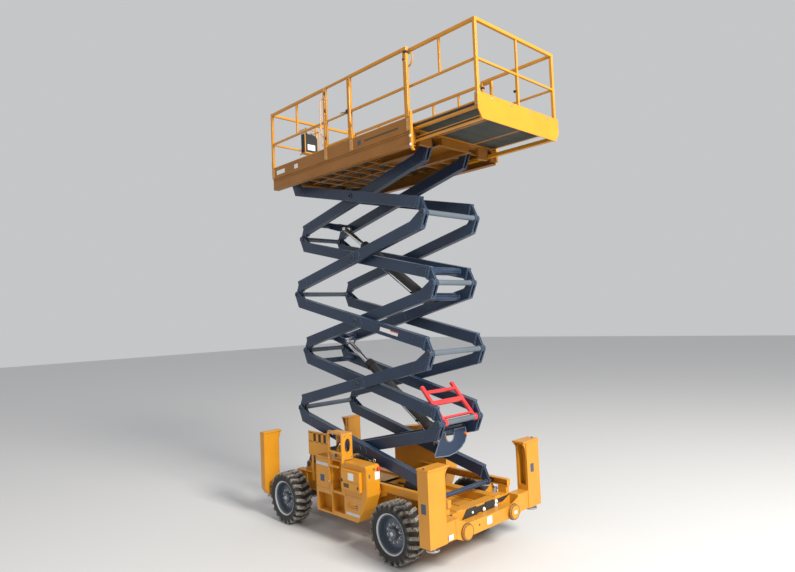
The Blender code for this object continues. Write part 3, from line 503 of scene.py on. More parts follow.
# ------------------------------------------------------------ repeating parts
def new_tree(name, inputs):
    """Empty geometry tree with a mesh in, the named sizes, and a mesh out."""
    t = bpy.data.node_groups.new(name, "GeometryNodeTree")
    t.interface.new_socket(name="Mesh", in_out="INPUT", socket_type="NodeSocketGeometry")
    add_inputs(t, inputs)
    t.interface.new_socket(name="Finish", in_out="INPUT", socket_type="NodeSocketMaterial")
    t.interface.new_socket(name="Mesh", in_out="OUTPUT", socket_type="NodeSocketGeometry")
    return t, t.nodes.new("NodeGroupInput"), t.nodes.new("NodeGroupOutput")


def close_tree(t, gi, go, instances):
    real = node(t, "GeometryNodeRealizeInstances", Geometry=instances)
    mat = node(t, "GeometryNodeSetMaterial", Geometry=real.outputs[0], Material=gi.outputs["Finish"])
    t.links.new(mat.outputs[0], go.inputs["Mesh"])
    return t


def bolt_tree():
    """Hexagon head with its washer on every point, turned to the point's own direction."""
    if "bolt_heads" in bpy.data.node_groups:
        return bpy.data.node_groups["bolt_heads"]
    t, gi, go = new_tree("bolt_heads", [("Across", NUMBER, 0.03), ("Height", NUMBER, 0.012),
                                        ("Washer", NUMBER, 0.003)])
    across = gi.outputs["Across"]
    height = gi.outputs["Height"]
    washer = gi.outputs["Washer"]
    head = node(t, "GeometryNodeMeshCylinder", Vertices=6, Depth=height,
                Radius=maths(t, "MULTIPLY", across, 0.5))
    lift = node(t, "ShaderNodeCombineXYZ", Z=maths(t, "ADD", washer, maths(t, "MULTIPLY", height, 0.5)))
    head = node(t, "GeometryNodeTransform", Geometry=head.outputs["Mesh"], Translation=lift.outputs[0])
    disc = node(t, "GeometryNodeMeshCylinder", Vertices=14, Depth=washer,
                Radius=maths(t, "MULTIPLY", across, 0.80))
    seat = node(t, "ShaderNodeCombineXYZ", Z=maths(t, "MULTIPLY", washer, 0.5))
    disc = node(t, "GeometryNodeTransform", Geometry=disc.outputs["Mesh"], Translation=seat.outputs[0])
    both = t.nodes.new("GeometryNodeJoinGeometry")
    t.links.new(head.outputs[0], both.inputs[0])
    t.links.new(disc.outputs[0], both.inputs[0])
    facing = node(t, "GeometryNodeInputNamedAttribute", data_type="FLOAT_VECTOR", Name="facing")
    turn = node(t, "FunctionNodeAlignRotationToVector", axis="Z", Vector=facing.outputs["Attribute"])
    inst = node(t, "GeometryNodeInstanceOnPoints", Points=gi.outputs["Mesh"], Instance=both.outputs[0],
                Rotation=turn.outputs[0])
    return close_tree(t, gi, go, inst.outputs[0])


def ring_tree():
    """One shape repeated about an axle that lies along Y."""
    if "ring_of" in bpy.data.node_groups:
        return bpy.data.node_groups["ring_of"]
    t, gi, go = new_tree("ring_of", [("Count", WHOLE, 24), ("Centre", VECTOR, (0, 0, 0))])
    pts = node(t, "GeometryNodePoints", Count=gi.outputs["Count"])
    step = maths(t, "DIVIDE", 2 * math.pi, gi.outputs["Count"])
    angle = maths(t, "MULTIPLY", node(t, "GeometryNodeInputIndex").outputs[0], step)
    euler = node(t, "ShaderNodeCombineXYZ", Y=angle)
    turn = node(t, "FunctionNodeEulerToRotation", Euler=euler.outputs[0])
    inst = node(t, "GeometryNodeInstanceOnPoints", Points=pts.outputs[0], Instance=gi.outputs["Mesh"],
                Rotation=turn.outputs[0])
    moved = node(t, "GeometryNodeTransform", Geometry=inst.outputs[0], Translation=gi.outputs["Centre"])
    return close_tree(t, gi, go, moved.outputs[0])


def field_tree():
    """One shape over a flat field of rows and columns, every second one turned."""
    if "field_of" in bpy.data.node_groups:
        return bpy.data.node_groups["field_of"]
    t, gi, go = new_tree("field_of", [("Long", NUMBER, 1.0), ("Wide", NUMBER, 1.0), ("Columns", WHOLE, 9),
                                      ("Rows", WHOLE, 9), ("Turn", NUMBER, 0.0),
                                      ("Centre", VECTOR, (0, 0, 0)), ("Tilt", VECTOR, (0, 0, 0))])
    grid = node(t, "GeometryNodeMeshGrid", Size_X=gi.outputs["Long"], Size_Y=gi.outputs["Wide"],
                Vertices_X=gi.outputs["Columns"], Vertices_Y=gi.outputs["Rows"])
    odd = maths(t, "MODULO", node(t, "GeometryNodeInputIndex").outputs[0], 2.0)
    euler = node(t, "ShaderNodeCombineXYZ", Z=maths(t, "MULTIPLY", odd, gi.outputs["Turn"]))
    turn = node(t, "FunctionNodeEulerToRotation", Euler=euler.outputs[0])
    inst = node(t, "GeometryNodeInstanceOnPoints", Points=grid.outputs["Mesh"], Instance=gi.outputs["Mesh"],
                Rotation=turn.outputs[0])
    tilt = node(t, "FunctionNodeEulerToRotation", Euler=gi.outputs["Tilt"])
    moved = node(t, "GeometryNodeTransform", Geometry=inst.outputs[0], Translation=gi.outputs["Centre"],
                 Rotation=tilt.outputs[0])
    return close_tree(t, gi, go, moved.outputs[0])


def grown(name, seed_mesh, tree, body, finish_name, smooth=35.0, slot=None, **sizes):
    """Runs a tree on a seed mesh and keeps the result as a plain piece on its body."""
    ob = bpy.data.objects.new(name + "_seed", seed_mesh)
    bpy.context.scene.collection.objects.link(ob)
    m = ob.modifiers.new("grow", "NODES")
    m.node_group = tree
    sockets = {s.name: s.identifier for s in tree.interface.items_tree
               if s.item_type == "SOCKET" and s.in_out == "INPUT"}
    for key, v in sizes.items():
        m[sockets[key.replace("_", " ")]] = v
    m[sockets["Finish"]] = finish(finish_name)
    dg = bpy.context.evaluated_depsgraph_get()
    mesh = bpy.data.meshes.new_from_object(ob.evaluated_get(dg), preserve_all_data_layers=True, depsgraph=dg)
    bpy.data.objects.remove(ob)
    mesh.name = name
    mesh_piece(name, mesh, (finish_name,), body, 0.0, smooth)


def bolts(name, body, spots, across=0.030, finish_name="steel", height=None):
    """Bolt heads at (place, direction) pairs."""
    mesh = bpy.data.meshes.new(name + "_points")
    mesh.from_pydata([p for p, _ in spots], [], [])
    a = mesh.attributes.new("facing", "FLOAT_VECTOR", "POINT")
    for k, (_, d) in enumerate(spots):
        a.data[k].vector = d
    grown(name, mesh, bolt_tree(), body, finish_name, Across=across, Height=height or across * 0.42,
          Washer=across * 0.10)


# ------------------------------------------------------------ wheels
def lug_mesh(width, depth, side):
    """Half of a chevron bar: from the middle of the tread over the shoulder and down the wall."""
    tread_r = 0.40          # radius at which a bar's thickness is measured
    root = 1.25             # a bar is wider where it meets the casing
    earth_from = 0.385      # dry earth clings outside this radius
    # stations: along the axle, inner and outer radius, sweep angle, half thickness
    h = width / 2
    stations = ((0.004, 0.372, 0.410, 0.000, 0.026), (h * 0.45, 0.372, 0.410, 0.050, 0.024),
                (h * 0.80, 0.366, 0.408, 0.088, 0.024), (h * 0.985, 0.352, 0.396, 0.100, 0.024),
                (h * 1.00, 0.330, 0.352, 0.100, 0.020))
    rings = []
    for y, r0, r1, sweep, half in stations:
        r1 = r0 + (r1 - r0) * depth
        a = half / tread_r
        rings.append([(r * math.cos(sweep + s * a * k), side * y, r * math.sin(sweep + s * a * k))
                      for r, s, k in ((r0, -1, root), (r1, -1, 1.0), (r1, 1, 1.0), (r0, 1, root))])
    bar = Shape("rubber")
    bar.faces(rings)
    mesh = mesh_of(bar, "lug")
    dust = mesh.attributes.new("tread", "FLOAT", "POINT")
    for k, v in enumerate(mesh.vertices):
        dust.data[k].value = 1.0 if math.hypot(v.co.x, v.co.z) > earth_from else 0.12
    return mesh


def dress_wheels(s):
    # outlines as (radius, along the axle), outward on the side away from the machine
    wall = [(0.262, 0.118), (0.275, 0.136), (0.300, 0.146), (0.335, 0.1495), (0.352, 0.146),
            (0.368, 0.128), (0.374, 0.080)]
    section = [(r, -y) for r, y in wall] + [(0.3765, 0.0)] + wall[::-1]
    wall_rings = ([(0.288, 0.142), (0.293, 0.1475), (0.299, 0.1475), (0.303, 0.144)],
                  [(0.318, 0.146), (0.321, 0.1515), (0.325, 0.1515), (0.328, 0.147)])
    dish = [(0.030, -0.028), (0.088, -0.028), (0.098, 0.030), (0.150, 0.046), (0.205, 0.020),
            (0.226, -0.010), (0.236, -0.110), (0.262, -0.122), (0.2635, -0.124), (0.2635, 0.118),
            (0.240, 0.118), (0.233, 0.030), (0.206, 0.032), (0.152, 0.058), (0.094, 0.046), (0.030, 0.046)]
    lip = [(0.254, 0.118), (0.255, 0.126), (0.262, 0.130), (0.272, 0.136), (0.274, 0.128), (0.264, 0.117)]
    cap = [(0.0315, 0.046), (0.078, 0.046), (0.076, 0.086), (0.066, 0.098), (0.0315, 0.100)]
    tyre_width = 0.300
    nut_circle = 0.121
    for end in ("front", "rear"):
        for side, m in SIDES:
            tag = f"{end}_{side}"
            low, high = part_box("tyre_" + tag)
            c = (low + high) / 2
            body = "wheel_" + tag
            casing = Shape("rubber")
            casing.turned(section, c, 72)
            for y in (-1, 1):
                for ring in wall_rings:
                    casing.turned([(r, y * w) for r, w in ring], c, 72)
            finished("tyre_casing_" + tag, casing, body, smooth=50,
                     stands_for=("tyre_" + tag,))
            for hand, w in (("inner", -m), ("outer", m)):
                grown(f"tyre_lugs_{tag}_{hand}", lug_mesh(tyre_width, s.lug_depth, w), ring_tree(), body,
                      "rubber", Count=s.lug_count, slot="tyre_rubber", Centre=(c.x, c.y, c.z))
            rim = Shape("rim")
            for name, outline, sides in (("rim", dish, 64), ("ring", lip, 64), ("rim", cap, 32)):
                rim.use(name)
                rim.turned([(r, m * y) for r, y in outline], c, sides)
            finished("rim_dish_" + tag, rim, body, smooth=40, stands_for=("rim_" + tag,))
            spots = [((c.x + nut_circle * a, c.y + m * 0.052, c.z + nut_circle * b), (0, m, 0))
                     for a, b in turns(s.wheel_nuts, 0.5)]
            bolts("wheel_nuts_" + tag, body, spots, 0.030, "steel", 0.020)
            hub = Shape("ring")
            hub.disc("y", (c.x, c.z), 0.029, c.y + m * 0.060, c.y + m * 0.108, 20)
            for place in circle(c.x, c.z, 0.052, 6):
                hub.disc("y", place, 0.0065, c.y + m * 0.094, c.y + m * 0.104, 6)
            finished("hub_" + tag, hub, body, 0.001)


# ------------------------------------------------------------ arms
def arm_ends(i, outer):
    """Low and high pin of an arm in stage i."""
    low_rear = (i % 2 == 0) if outer else (i % 2 == 1)
    a, b = (X_REAR, X_FRONT) if low_rear else (X_FRONT, X_REAR)
    return (a, level(i - 1)), (b, level(i))


def arm_place(low, high):
    """Gives the (x, z) of a spot u along an arm from its low pin and w across it."""
    dx, dz = high[0] - low[0], high[1] - low[1]
    n = math.hypot(dx, dz)
    c, s = dx / n, dz / n
    up = 1.0 if dx > 0 else -1.0
    return lambda u, w: (low[0] + u * c - up * w * s, low[1] + u * s + up * w * c)


def tube_mid(u):
    """How far the tube's middle line lies from the line between the pins."""
    return PITCH / 2 * (1 - 2 * u / ARM_L)


def either_side(put, u, w):
    """The points at distance w on both sides of the tube's middle line, u along the arm."""
    return [put(u, tube_mid(u) + k * w) for k in (-1, 1)]


def about_middle(put, u, w):
    """Four corners round an arm's middle pin."""
    return [put(ARM_L / 2 + k * u, j * w) for k in (-1, 1) for j in (-1, 1)]


def dress_arms(s):
    d = ARM_D / 2
    for i in range(1, STAGES + 1):
        for outer in (False, True):
            kind = "outer" if outer else "inner"
            tag = f"{kind}_{i}"
            coat(f"{kind}_arms_{i}", "arm")
            low, high = arm_ends(i, outer)
            put = arm_place(low, high)
            y = OUT_Y if outer else IN_Y
            mid = ((low[0] + high[0]) / 2, (low[1] + high[1]) / 2)
            plates = Shape("arm")
            spots = []
            for _, m in SIDES:
                out = m * (y + ARM_W / 2)
                # doubler plates at both ends, on the outside face
                for u0, sign, ring in ((0.0, 1, []), (ARM_L, -1, circle(*high, 0.048, 14))):
                    far = either_side(put, u0 + sign * 0.34, d * 0.62)
                    near = either_side(put, u0 + sign * 0.145, d * 0.90)
                    plates.prism(hull(ring + far + near), "y", out, out + m * s.plate)
                # plates round the middle pin: inner arms on the inside, outer arms on the outside
                if outer:
                    centre = hull(about_middle(put, 0.17, d * 0.45) + about_middle(put, 0.09, d * 0.92))
                    plates.prism(centre, "y", out, out + m * 0.0022)
                else:
                    centre = hull(circle(*mid, 0.080, 20) + about_middle(put, 0.15, d * 0.8))
                    plates.prism(centre, "y", m * (y - ARM_W / 2), m * (y - ARM_W / 2 - s.plate))
                # weld seams along the tube's two inner edges
                for k in (-1, 1):
                    pts = [put(u, tube_mid(u) + k * (d - 0.004)) for u in (0.16, ARM_L - 0.16)]
                    plates.pipe([(p[0], m * (y - ARM_W / 2 + 0.002), p[1]) for p in pts], 0.004, 6)
                # bolt in the end of the pin that joins two stages
                if outer and i > 1:
                    spots.append(((low[0], m * (y + ARM_W / 2 + 0.0125), low[1]), (0, m, 0)))
            finished("plates_" + tag, plates, tag, 0.0015)
            if not outer:
                for _, m in SIDES:
                    spots.append(((mid[0], m * (OUT_Y + ARM_W / 2 + 0.0142), mid[1]), (0, m, 0)))
            if spots:
                bolts("pin_bolts_" + tag, tag, spots, 0.034, "black")
            # sleeve over the pin between the two sides, shorter where the prop hangs on it
            if i > 1:
                # the sleeve takes the lighter copy of the arm paint, a painted highlight for its lit top
                sleeve = Shape("tube")
                reach = y - ARM_W / 2 - 0.006
                if not outer and i == 2:
                    reach = 0.288
                sleeve.disc("y", low, s.sleeve_radius, -reach, reach, 28)
                for m in (-1, 1):
                    sleeve.disc("y", low, s.sleeve_radius + 0.006, m * (reach - 0.018), m * reach, 28)
                finished("pin_sleeve_" + tag, sleeve, tag, 0.002)


# ------------------------------------------------------------ platform
# In the functions below X is the middle of the machine and T the height of the upper pins.
SIDE_Y = 0.9172         # outer face of the deck's side sheet


def dress_platform(s):
    T, X = TOP_Z, MID_X
    r, f, h = DECK_LOW.x, X + 1.670, 0.905
    # the deck takes the darker copy of the yellow, painted shade
    coat("platform_deck", "amber")
    rounded("platform_deck", 0.003)
    for n in ("guard_rail_rear", "guard_rail_near", "entry_gate", "roll_out_rail", "roll_out_deck"):
        coat(n, "yellow")
        rounded(n, 0.003)
    # strips on the deck's sides and rear end in the darker yellow, painted shade
    trim = Shape("amber")
    for m in (-1, 1):
        for z0, z1 in ((T - 0.137, T - 0.120), (T + 0.018, T + 0.034)):
            trim.box(r + 0.01, f - 0.01, m * 0.9049, m * 0.916, z0, z1)
        trim.use("yellow")
        trim.pipe([(x, m * (h + 0.006), T + 0.233) for x in (r + 0.004, f - 0.004)], 0.008, 8)
        trim.use("black")
        trim.box(r - 0.006, r + 0.001, m * 0.800, m * 0.903, T - 0.130, T + 0.030)
        trim.use("amber")
    trim.box(r - 0.004, r, -0.79, 0.79, T + 0.20, T + 0.232)
    finished("deck_trim", trim, "platform", 0.002)
    # dark sheets between the joists, painted shade under the deck: from x to x, and how far from the middle
    # they begin
    bays = ((-1.60, -1.28, 0.03), (-1.22, -0.98, 0.03), (-0.92, -0.68, 0.03), (-0.62, -0.38, 0.03),
            (-0.32, -0.08, 0.03), (-0.02, 0.22, 0.03), (0.28, 0.59, 0.29))
    under = Shape("under_sheet")
    for x0, x1, inner in bays:
        for m in (-1, 1):
            under.box(X + x0, X + x1, m * inner, m * 0.86, T + 0.0610, T + 0.0648)
    finished("under_panels", under, "platform", 0.001)
    # struts under the deck in the darker yellow, painted shade
    struts = Shape("amber")
    for m in (-1, 1):
        struts.box(X - 1.58, X + 0.38, m * 0.180, m * 0.215, T + 0.0252, T + 0.0600)
        struts.use("black")
        run = [(X + x, m * y, T + 0.012) for x, y in ((-1.5, 0.70), (-0.2, 0.70), (0.1, 0.62), (0.40, 0.62))]
        struts.pipe(filleted(run, 0.06), 0.011, 8)
        struts.use("amber")
    finished("under_struts", struts, "platform", 0.002)
    # anti-slip bars raised on both decks
    grip = Shape("deck")
    grip.faces([[(-x, 0, z), (0, -y, z), (x, 0, z), (0, y, z)]
                for x, y, z in ((0.016, 0.0045, 0), (0.010, 0.0022, 0.0014))])
    bar = mesh_of(grip, "grip")
    deck_top = T + 0.076
    for name, y0, y1 in (("near", -0.86, -0.54), ("mid", -0.46, 0.46), ("far", 0.54, 0.86)):
        rows = int(round((y1 - y0) / 0.046)) | 1
        grown("floor_grip_" + name, bar.copy(), field_tree(), "platform", "deck", Long=2.48, Wide=y1 - y0,
              Columns=55, Rows=rows, Turn=math.pi / 2, Centre=(X - 0.345, (y0 + y1) / 2, deck_top))
    grown("roll_out_grip", bar, field_tree(), "roll_out", "deck", Long=1.74, Wide=1.54, Columns=39, Rows=35,
          Turn=math.pi / 2, Centre=(X + 1.845, 0, T + 0.096))
    floor = Shape("deck")
    floor.box(r + 0.03, f - 0.02, -0.885, 0.885, deck_top - 0.0002, deck_top + 0.0005)
    finished("floor_sheet", floor, "platform")
    floor = Shape("deck")
    floor.box(X + 0.955, CAD_HIGH.x - 0.02, -0.795, 0.795, T + 0.0958, T + 0.0965)
    finished("roll_out_sheet", floor, "roll_out")
    # post sockets, latch foot and grab bars
    posts = Shape("yellow")
    spots = []
    end_posts = (X - 1.605, X + 1.650)
    gate_posts = (X - 0.130, X + 0.480)
    for x in end_posts + gate_posts:
        for m in ((-1, 1) if x in end_posts else (-1,)):
            y = m * 0.909
            for sx in (-1, 1):
                posts.box(x + sx * 0.0202, x + sx * 0.028, y - 0.020, y + 0.020, T + 0.236, T + 0.345)
            posts.box(x - 0.034, x + 0.034, m * SIDE_Y, m * 0.923, T + 0.060, T + 0.232)
            for dz in (0.095, 0.195):
                spots.append(((x, m * 0.923, T + dz), (0, m, 0)))
    for x in (X - 0.9, X - 0.1, X + 0.45, X + 1.0):
        posts.box(x - 0.028, x + 0.028, SIDE_Y, 0.922, T + 0.120, T + 0.232)
        spots.append(((x, 0.922, T + 0.175), (0, 1, 0)))
    posts.box(f + 0.001, f + 0.031, -0.924, -0.884, T - 0.160, T + 0.300)
    posts.box(f + 0.001, f + 0.031, 0.884, 0.924, T - 0.100, T + 0.300)
    foot = [(f + x, T + z) for x, z in ((0.001, -0.160), (0.031, -0.160), (0.060, -0.215), (0.030, -0.215))]
    posts.prism(foot, "y", -0.924, -0.884)

    def handle(shape, x, out, radius, rows, turn):
        """Bent bar on the near side: rows of (along X, outward, height) from a place on the deck."""
        shape.pipe(filleted([(x + dx, -out - dy, T + z) for dx, dy, z in rows], turn), radius, 8)
    for x in (X - 0.175, X + 0.525):
        handle(posts, x, 0.915, 0.009, ((0, 0, 0.42), (0, 0.047, 0.45), (0, 0.047, 0.98), (0, 0, 1.01)), 0.03)
    finished("post_sockets", posts, "platform", 0.0015)
    bolts("rail_bolts", "platform", spots, 0.022)
    bolts("post_foot_bolts", "platform", [((f + 0.016, -0.924, T - dz), (0, -1, 0)) for dz in (0.135, 0.02)],
          0.028, "label")
    grab = Shape("yellow")
    for x in gate_posts:
        handle(grab, x - 0.03, 0.925, 0.008, ((0, 0, 0.27), (0, 0.03, 0.29), (0, 0.03, 0.37), (0, 0, 0.40)),
               0.03)
    grab.use("black")
    grab.box(X + 1.622, X + 1.678, -0.934, -0.884, T + 1.085, T + 1.115)
    for z in (0.36, 0.78, 1.05):
        grab.box(X - 0.118, X - 0.094, -0.930, -0.922, T + z, T + z + 0.05)
    finished("gate_handholds", grab, "platform", 0.001)
    latch = Shape("black")
    latch.box(X + 0.395, X + 0.440, -0.934, -0.9245, T + 0.62, T + 0.68)
    handle(latch, X, 0.929, 0.006, ((0.40, 0, 0.65), (0.34, 0.021, 0.65), (0.30, 0.021, 0.65)), 0.02)
    finished("gate_latch", latch, "gate", 0.001)
    # blank plates where a machine carries its decals
    plate = Shape("label_blue")
    near = (-SIDE_Y - 0.001, -SIDE_Y)
    plate.boxes((X, 0, T), (0.62, 0.69, *near, 0.100, 0.165),
                "label_dark", (0.77, 1.46, *near, 0.122, 0.148),
                "label", (-1.50, -1.26, *near, 0.10, 0.17), (-0.98, -0.88, *near, 0.10, 0.17),
                "label_dark", (0.1, 1.2, SIDE_Y, SIDE_Y + 0.001, 0.122, 0.148))
    finished("deck_plates", plate, "platform")


def dress_roll_out(s):
    T, X = TOP_Z, MID_X
    F = CAD_HIGH.x
    e = 0.830               # middle of the sliding rail's posts
    bracket_x = (X + 1.545, F - 0.0343)
    p = Shape("yellow")
    for m in (-1, 1):
        for z0, z1 in ((0.147, 0.1615), (0.0845, 0.100)):
            p.box(X + 0.96, F - 0.02, m * 0.8421, m * 0.846, T + z0, T + z1)
        p.use("black")
        p.box(X + 0.97, F - 0.03, m * 0.8421, m * 0.8432, T + 0.108, T + 0.140)
        p.use("yellow")
        for x in bracket_x:
            p.box(x - 0.030, x + 0.030, m * 0.8505, m * 0.856, T + 0.10, T + 0.26)
    hoop = ((1.560, 0.012, 1.11), (1.715, 0.030, 1.10), (1.715, 0.030, 0.95), (1.560, 0.012, 0.91))
    p.pipe(filleted([(X + x, -e - y, T + z) for x, y, z in hoop], 0.06), 0.011, 10)
    p.use("black")
    for m in (-1, 1):
        p.box(X + 1.522, X + 1.568, m * (e + 0.023), m * (e - 0.023), T + 1.045, T + 1.075)
        p.box(X + 0.98, F - 0.05, m * 0.7899, m * 0.7915, T - 0.040, T - 0.020)
    # ribbed under side of the floor ahead of the main deck: a dark sheet and strips of the darker yellow as
    # painted shade
    p.use("under_sheet")
    p.box(X + 1.700, F - 0.030, -0.790, 0.790, T + 0.0790, T + 0.0819)
    p.use("black")
    for k in range(5):
        x = X + 1.760 + 0.230 * k
        p.box(x, x + 0.045, -0.790, 0.790, T + 0.0778, T + 0.0791)
    p.use("amber")
    for y in (-0.36, 0.36):
        p.box(X + 1.700, F - 0.030, y - 0.025, y + 0.025, T + 0.0777, T + 0.0791)
    p.use("yellow")
    p.pipe([(F - 0.006, -0.865, T + 0.250), (F - 0.006, 0.865, T + 0.250)], 0.008, 8)
    p.use("black")
    p.knob("x", (F, 0, T + 0.47), ((-0.062, 0.012), (-0.088, 0.020), (-0.092, 0.012)), 12)
    finished("roll_out_trim", p, "roll_out", 0.0015)
    spots = [((x, m * 0.856, T + z), (0, m, 0)) for m in (-1, 1) for x in bracket_x for z in (0.122, 0.235)]
    spots += [((F, y, T + 0.215), (1, 0, 0)) for y in (-0.6, -0.2, 0.2, 0.6)]
    bolts("roll_out_bolts", "roll_out", spots, 0.020)


def dress_controls(s):
    """Platform control box in its guard, with a stick, a stop button and blank plates."""
    low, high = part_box("platform_control_box")
    c = (low + high) / 2
    b = Shape("black")
    b.prism([(low.x, low.z), (high.x, low.z), (high.x, high.z - 0.07), (high.x - 0.045, high.z),
             (low.x, high.z)], "y", low.y, high.y)
    b.prism([(low.x + 0.010, high.z), (high.x - 0.050, high.z), (high.x - 0.060, high.z + 0.016),
             (low.x + 0.020, high.z + 0.016)], "y", low.y + 0.03, high.y - 0.03)
    stick = ((0.010, 0.026), (0.030, 0.022), (0.034, 0.010), (0.055, 0.013), (0.110, 0.016), (0.125, 0.008))
    b.knob("z", (c.x - 0.01, c.y - 0.06, high.z), stick, 14)
    b.use("label")
    b.box(high.x, high.x + 0.001, low.y + 0.05, high.y - 0.05, low.z + 0.05, low.z + 0.15)
    b.use("red")
    stop = ((0.014, 0.012), (0.026, 0.012), (0.027, 0.022), (0.040, 0.022), (0.043, 0.016))
    b.knob("z", (c.x - 0.01, c.y + 0.06, high.z), stop, 18)
    b.use("steel")
    for k in range(4):
        y = c.y - 0.02 + k * 0.018
        b.pipe([(c.x + 0.022, y, high.z + 0.012), (c.x + 0.026, y, high.z + 0.030)], 0.003, 8)
    finished("control_box_shell", b, "platform", 0.003,
             stands_for=("platform_control_box",))
    g = Shape("yellow")
    back, face = low.x - 0.012, high.x + 0.03
    foot, head = low.z - 0.02, high.z + 0.06
    for y in (low.y - 0.022, high.y + 0.022):
        g.pipe(filleted([(back, y, foot), (face, y, foot), (face, y, head), (back, y, head)], 0.04), 0.009, 8)
    for z in (foot, head):
        g.pipe([(face, low.y - 0.022, z), (face, high.y + 0.022, z)], 0.009, 8)
    g.box(low.x - 0.0003, face, low.y - 0.02, high.y + 0.02, low.z - 0.012, low.z - 0.0005)
    finished("control_guard", g, "platform", 0.001)
    h = Shape("hose")
    h.pipe(filleted([(c.x, high.y - 0.02, low.z), (c.x, high.y - 0.02, low.z - 0.05),
                     (low.x + 0.005, high.y + 0.03, low.z - 0.12),
                     (low.x - 0.002, high.y + 0.03, TOP_Z + 0.085)], 0.04), 0.010, 8)
    finished("control_cable", h, "platform")


# ------------------------------------------------------------ chassis, jacks and lockers
def dress_jacks(s):
    X = MID_X
    for n in ("front_jack_leg_near", "front_jack_leg_far", "rear_jack_leg_near", "rear_jack_leg_far",
              "front_jack_beam", "rear_jack_beam"):
        coat(n, "yellow")
        rounded(n, 0.004)
    for end in ("front", "rear"):
        for side, _ in SIDES:
            coat(f"{end}_foot_{side}", "steel")
            rounded(f"{end}_foot_{side}", 0.003)
    trim = Shape("yellow")
    leg_spots = []
    x0, x1 = X + 1.800, X + 1.980       # rear and front face of the front legs
    zb = 0.535                          # height of the beam's round ends
    for side, m in SIDES:
        coat("front_bracket_" + side, "black")
        leg_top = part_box("front_jack_leg_" + side)[1].z
        top = leg_top - 0.024
        inside, outside = m * 0.8695, m * 1.1745
        beam_end = (m * 0.500, zb)
        # gussets under the top plate, on the inner side
        for x in (x0 + 0.010, x1 - 0.022):
            pts = [(inside, top), (inside - m * 0.070, top)]
            pts += [(inside - m * (0.070 - 0.066 * math.sin(a)), top - 0.020 - 0.19 * (1 - math.cos(a)))
                    for a in [math.pi / 2 * k / 6 for k in range(7)]]
            pts.append((inside, top - 0.24))
            trim.prism(pts, "x", x, x + 0.012)
        # folded edges down both inner corners
        for x in (x0, x1):
            trim.pipe([(x, m * 0.872, 0.76), (x, m * 0.872, top - 0.02)], 0.005, 6)
        # round cover on the beam's end; the black discs behind it and the dark ring round it are painted shade
        # for its thick rim
        trim.use("black")
        trim.disc("x", beam_end, 0.110, x1 - 0.0035, x1 + 0.0035, 36)
        trim.disc("x", beam_end, 0.088, x1 + 0.0255, x1 + 0.0275, 36)
        trim.use("yellow")
        trim.disc("x", beam_end, 0.084, x1 + 0.0255, x1 + 0.0340, 36)
        trim.use("label_dark")
        trim.pipe([(x1 + 0.0262, y, z) for y, z in circle(*beam_end, 0.099, 32)], 0.004, 8, closed=True)
        # hinge blocks on the rear face and a plug on top
        trim.use("yellow")
        for z in (0.86, 1.13):
            trim.box(x0 - 0.022, x0 + 0.001, m * 1.03, m * 1.10, z, z + 0.075)
        trim.disc("z", (X + 1.89, m * 1.06), 0.016, leg_top, leg_top + 0.004, 16)
        # blank plates
        trim.use("label")
        if m < 0:
            trim.box(x1, x1 + 0.001, m * 0.76, m * 0.845, zb - 0.018, zb + 0.045)
            trim.use("label_blue")
            trim.box(x0 + 0.05, x0 + 0.13, outside + m * 0.001, outside, 0.90, 1.02)
        else:
            trim.box(x1 + 0.034, x1 + 0.035, m * 0.500 - 0.030, m * 0.500 + 0.034, zb - 0.020, zb + 0.024)
            trim.use("label_blue")
            trim.box(x1, x1 + 0.001, m * 0.95, m * 1.03, 0.98, 1.10)
        # rear legs
        trim.use("yellow")
        rear_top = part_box("rear_jack_leg_" + side)[1].z
        xr = CAD_LOW.x + 0.125
        for y in (0.7645, 1.0495):
            trim.pipe([(xr, m * y, 0.56), (xr, m * y, rear_top - 0.025)], 0.005, 6)
        gusset = ((0.7645, 0.024), (0.708, 0.024), (0.716, 0.05), (0.7645, 0.20))
        pts = [(m * y, rear_top - dz) for y, dz in gusset]
        for x in (CAD_LOW.x + 0.012, xr - 0.024):
            trim.prism(pts, "x", x, x + 0.010)
        leg_spots.append((((x0 + x1) / 2, m * 1.150, top + 0.024), (0, 0, 1)))
    trim.use("label")
    trim.box(X + 1.9580, X + 1.9590, -0.060, 0.045, 0.500, 0.600)
    trim.use("black")
    trim.disc("x", (-0.22, 0.545), 0.014, X + 1.957, X + 1.9595, 18)
    # bolted plates between the frame's front and the beam
    plate_x = (X + 1.8001, X + 1.8110)
    trim.box(*plate_x, -0.240, 0.340, 0.628, 0.706)
    trim.prism([(0.300, 0.652), (0.700, 0.652), (0.700, 0.690), (0.640, 0.712), (0.300, 0.706)], "x", *plate_x)
    trim.prism([(-0.580, 0.660), (-0.710, 0.660), (-0.710, 0.735), (-0.580, 0.735)], "x", *plate_x)
    finished("jack_trim", trim, "chassis", 0.0015)
    bolts("jack_bolts", "chassis", leg_spots, 0.022, "black")
    plate_spots = [((X + 1.8214 if 0 < y < 0.33 else X + 1.8110, y, z), (1, 0, 0))
                   for y, z in ((-0.19, 0.668), (0.052, 0.650), (0.314, 0.640), (0.322, 0.690),
                                (0.655, 0.678), (-0.655, 0.700))]
    bolts("bracket_bolts", "chassis", plate_spots, 0.036, "label")
    for end, ram_r in (("front", 0.0345), ("rear", 0.0300)):
        for side, _ in SIDES:
            low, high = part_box(f"{end}_foot_{side}")
            c = (low + high) / 2
            f = Shape("chrome")
            f.disc("z", (c.x, c.y), ram_r, low.z + 0.036, low.z + 0.110, 32)
            f.use("steel")
            collar = ((0.016, 0.022), (0.018, 0.030), (0.010, 0.044), (0.002, 0.052))
            f.faces([[(x, y, low.z + z) for x, y in circle(c.x, c.y, ram_r + dr, 32)] for dr, z in collar])
            finished(f"ram_{end}_{side}", f, f"{end}_foot_{side}")


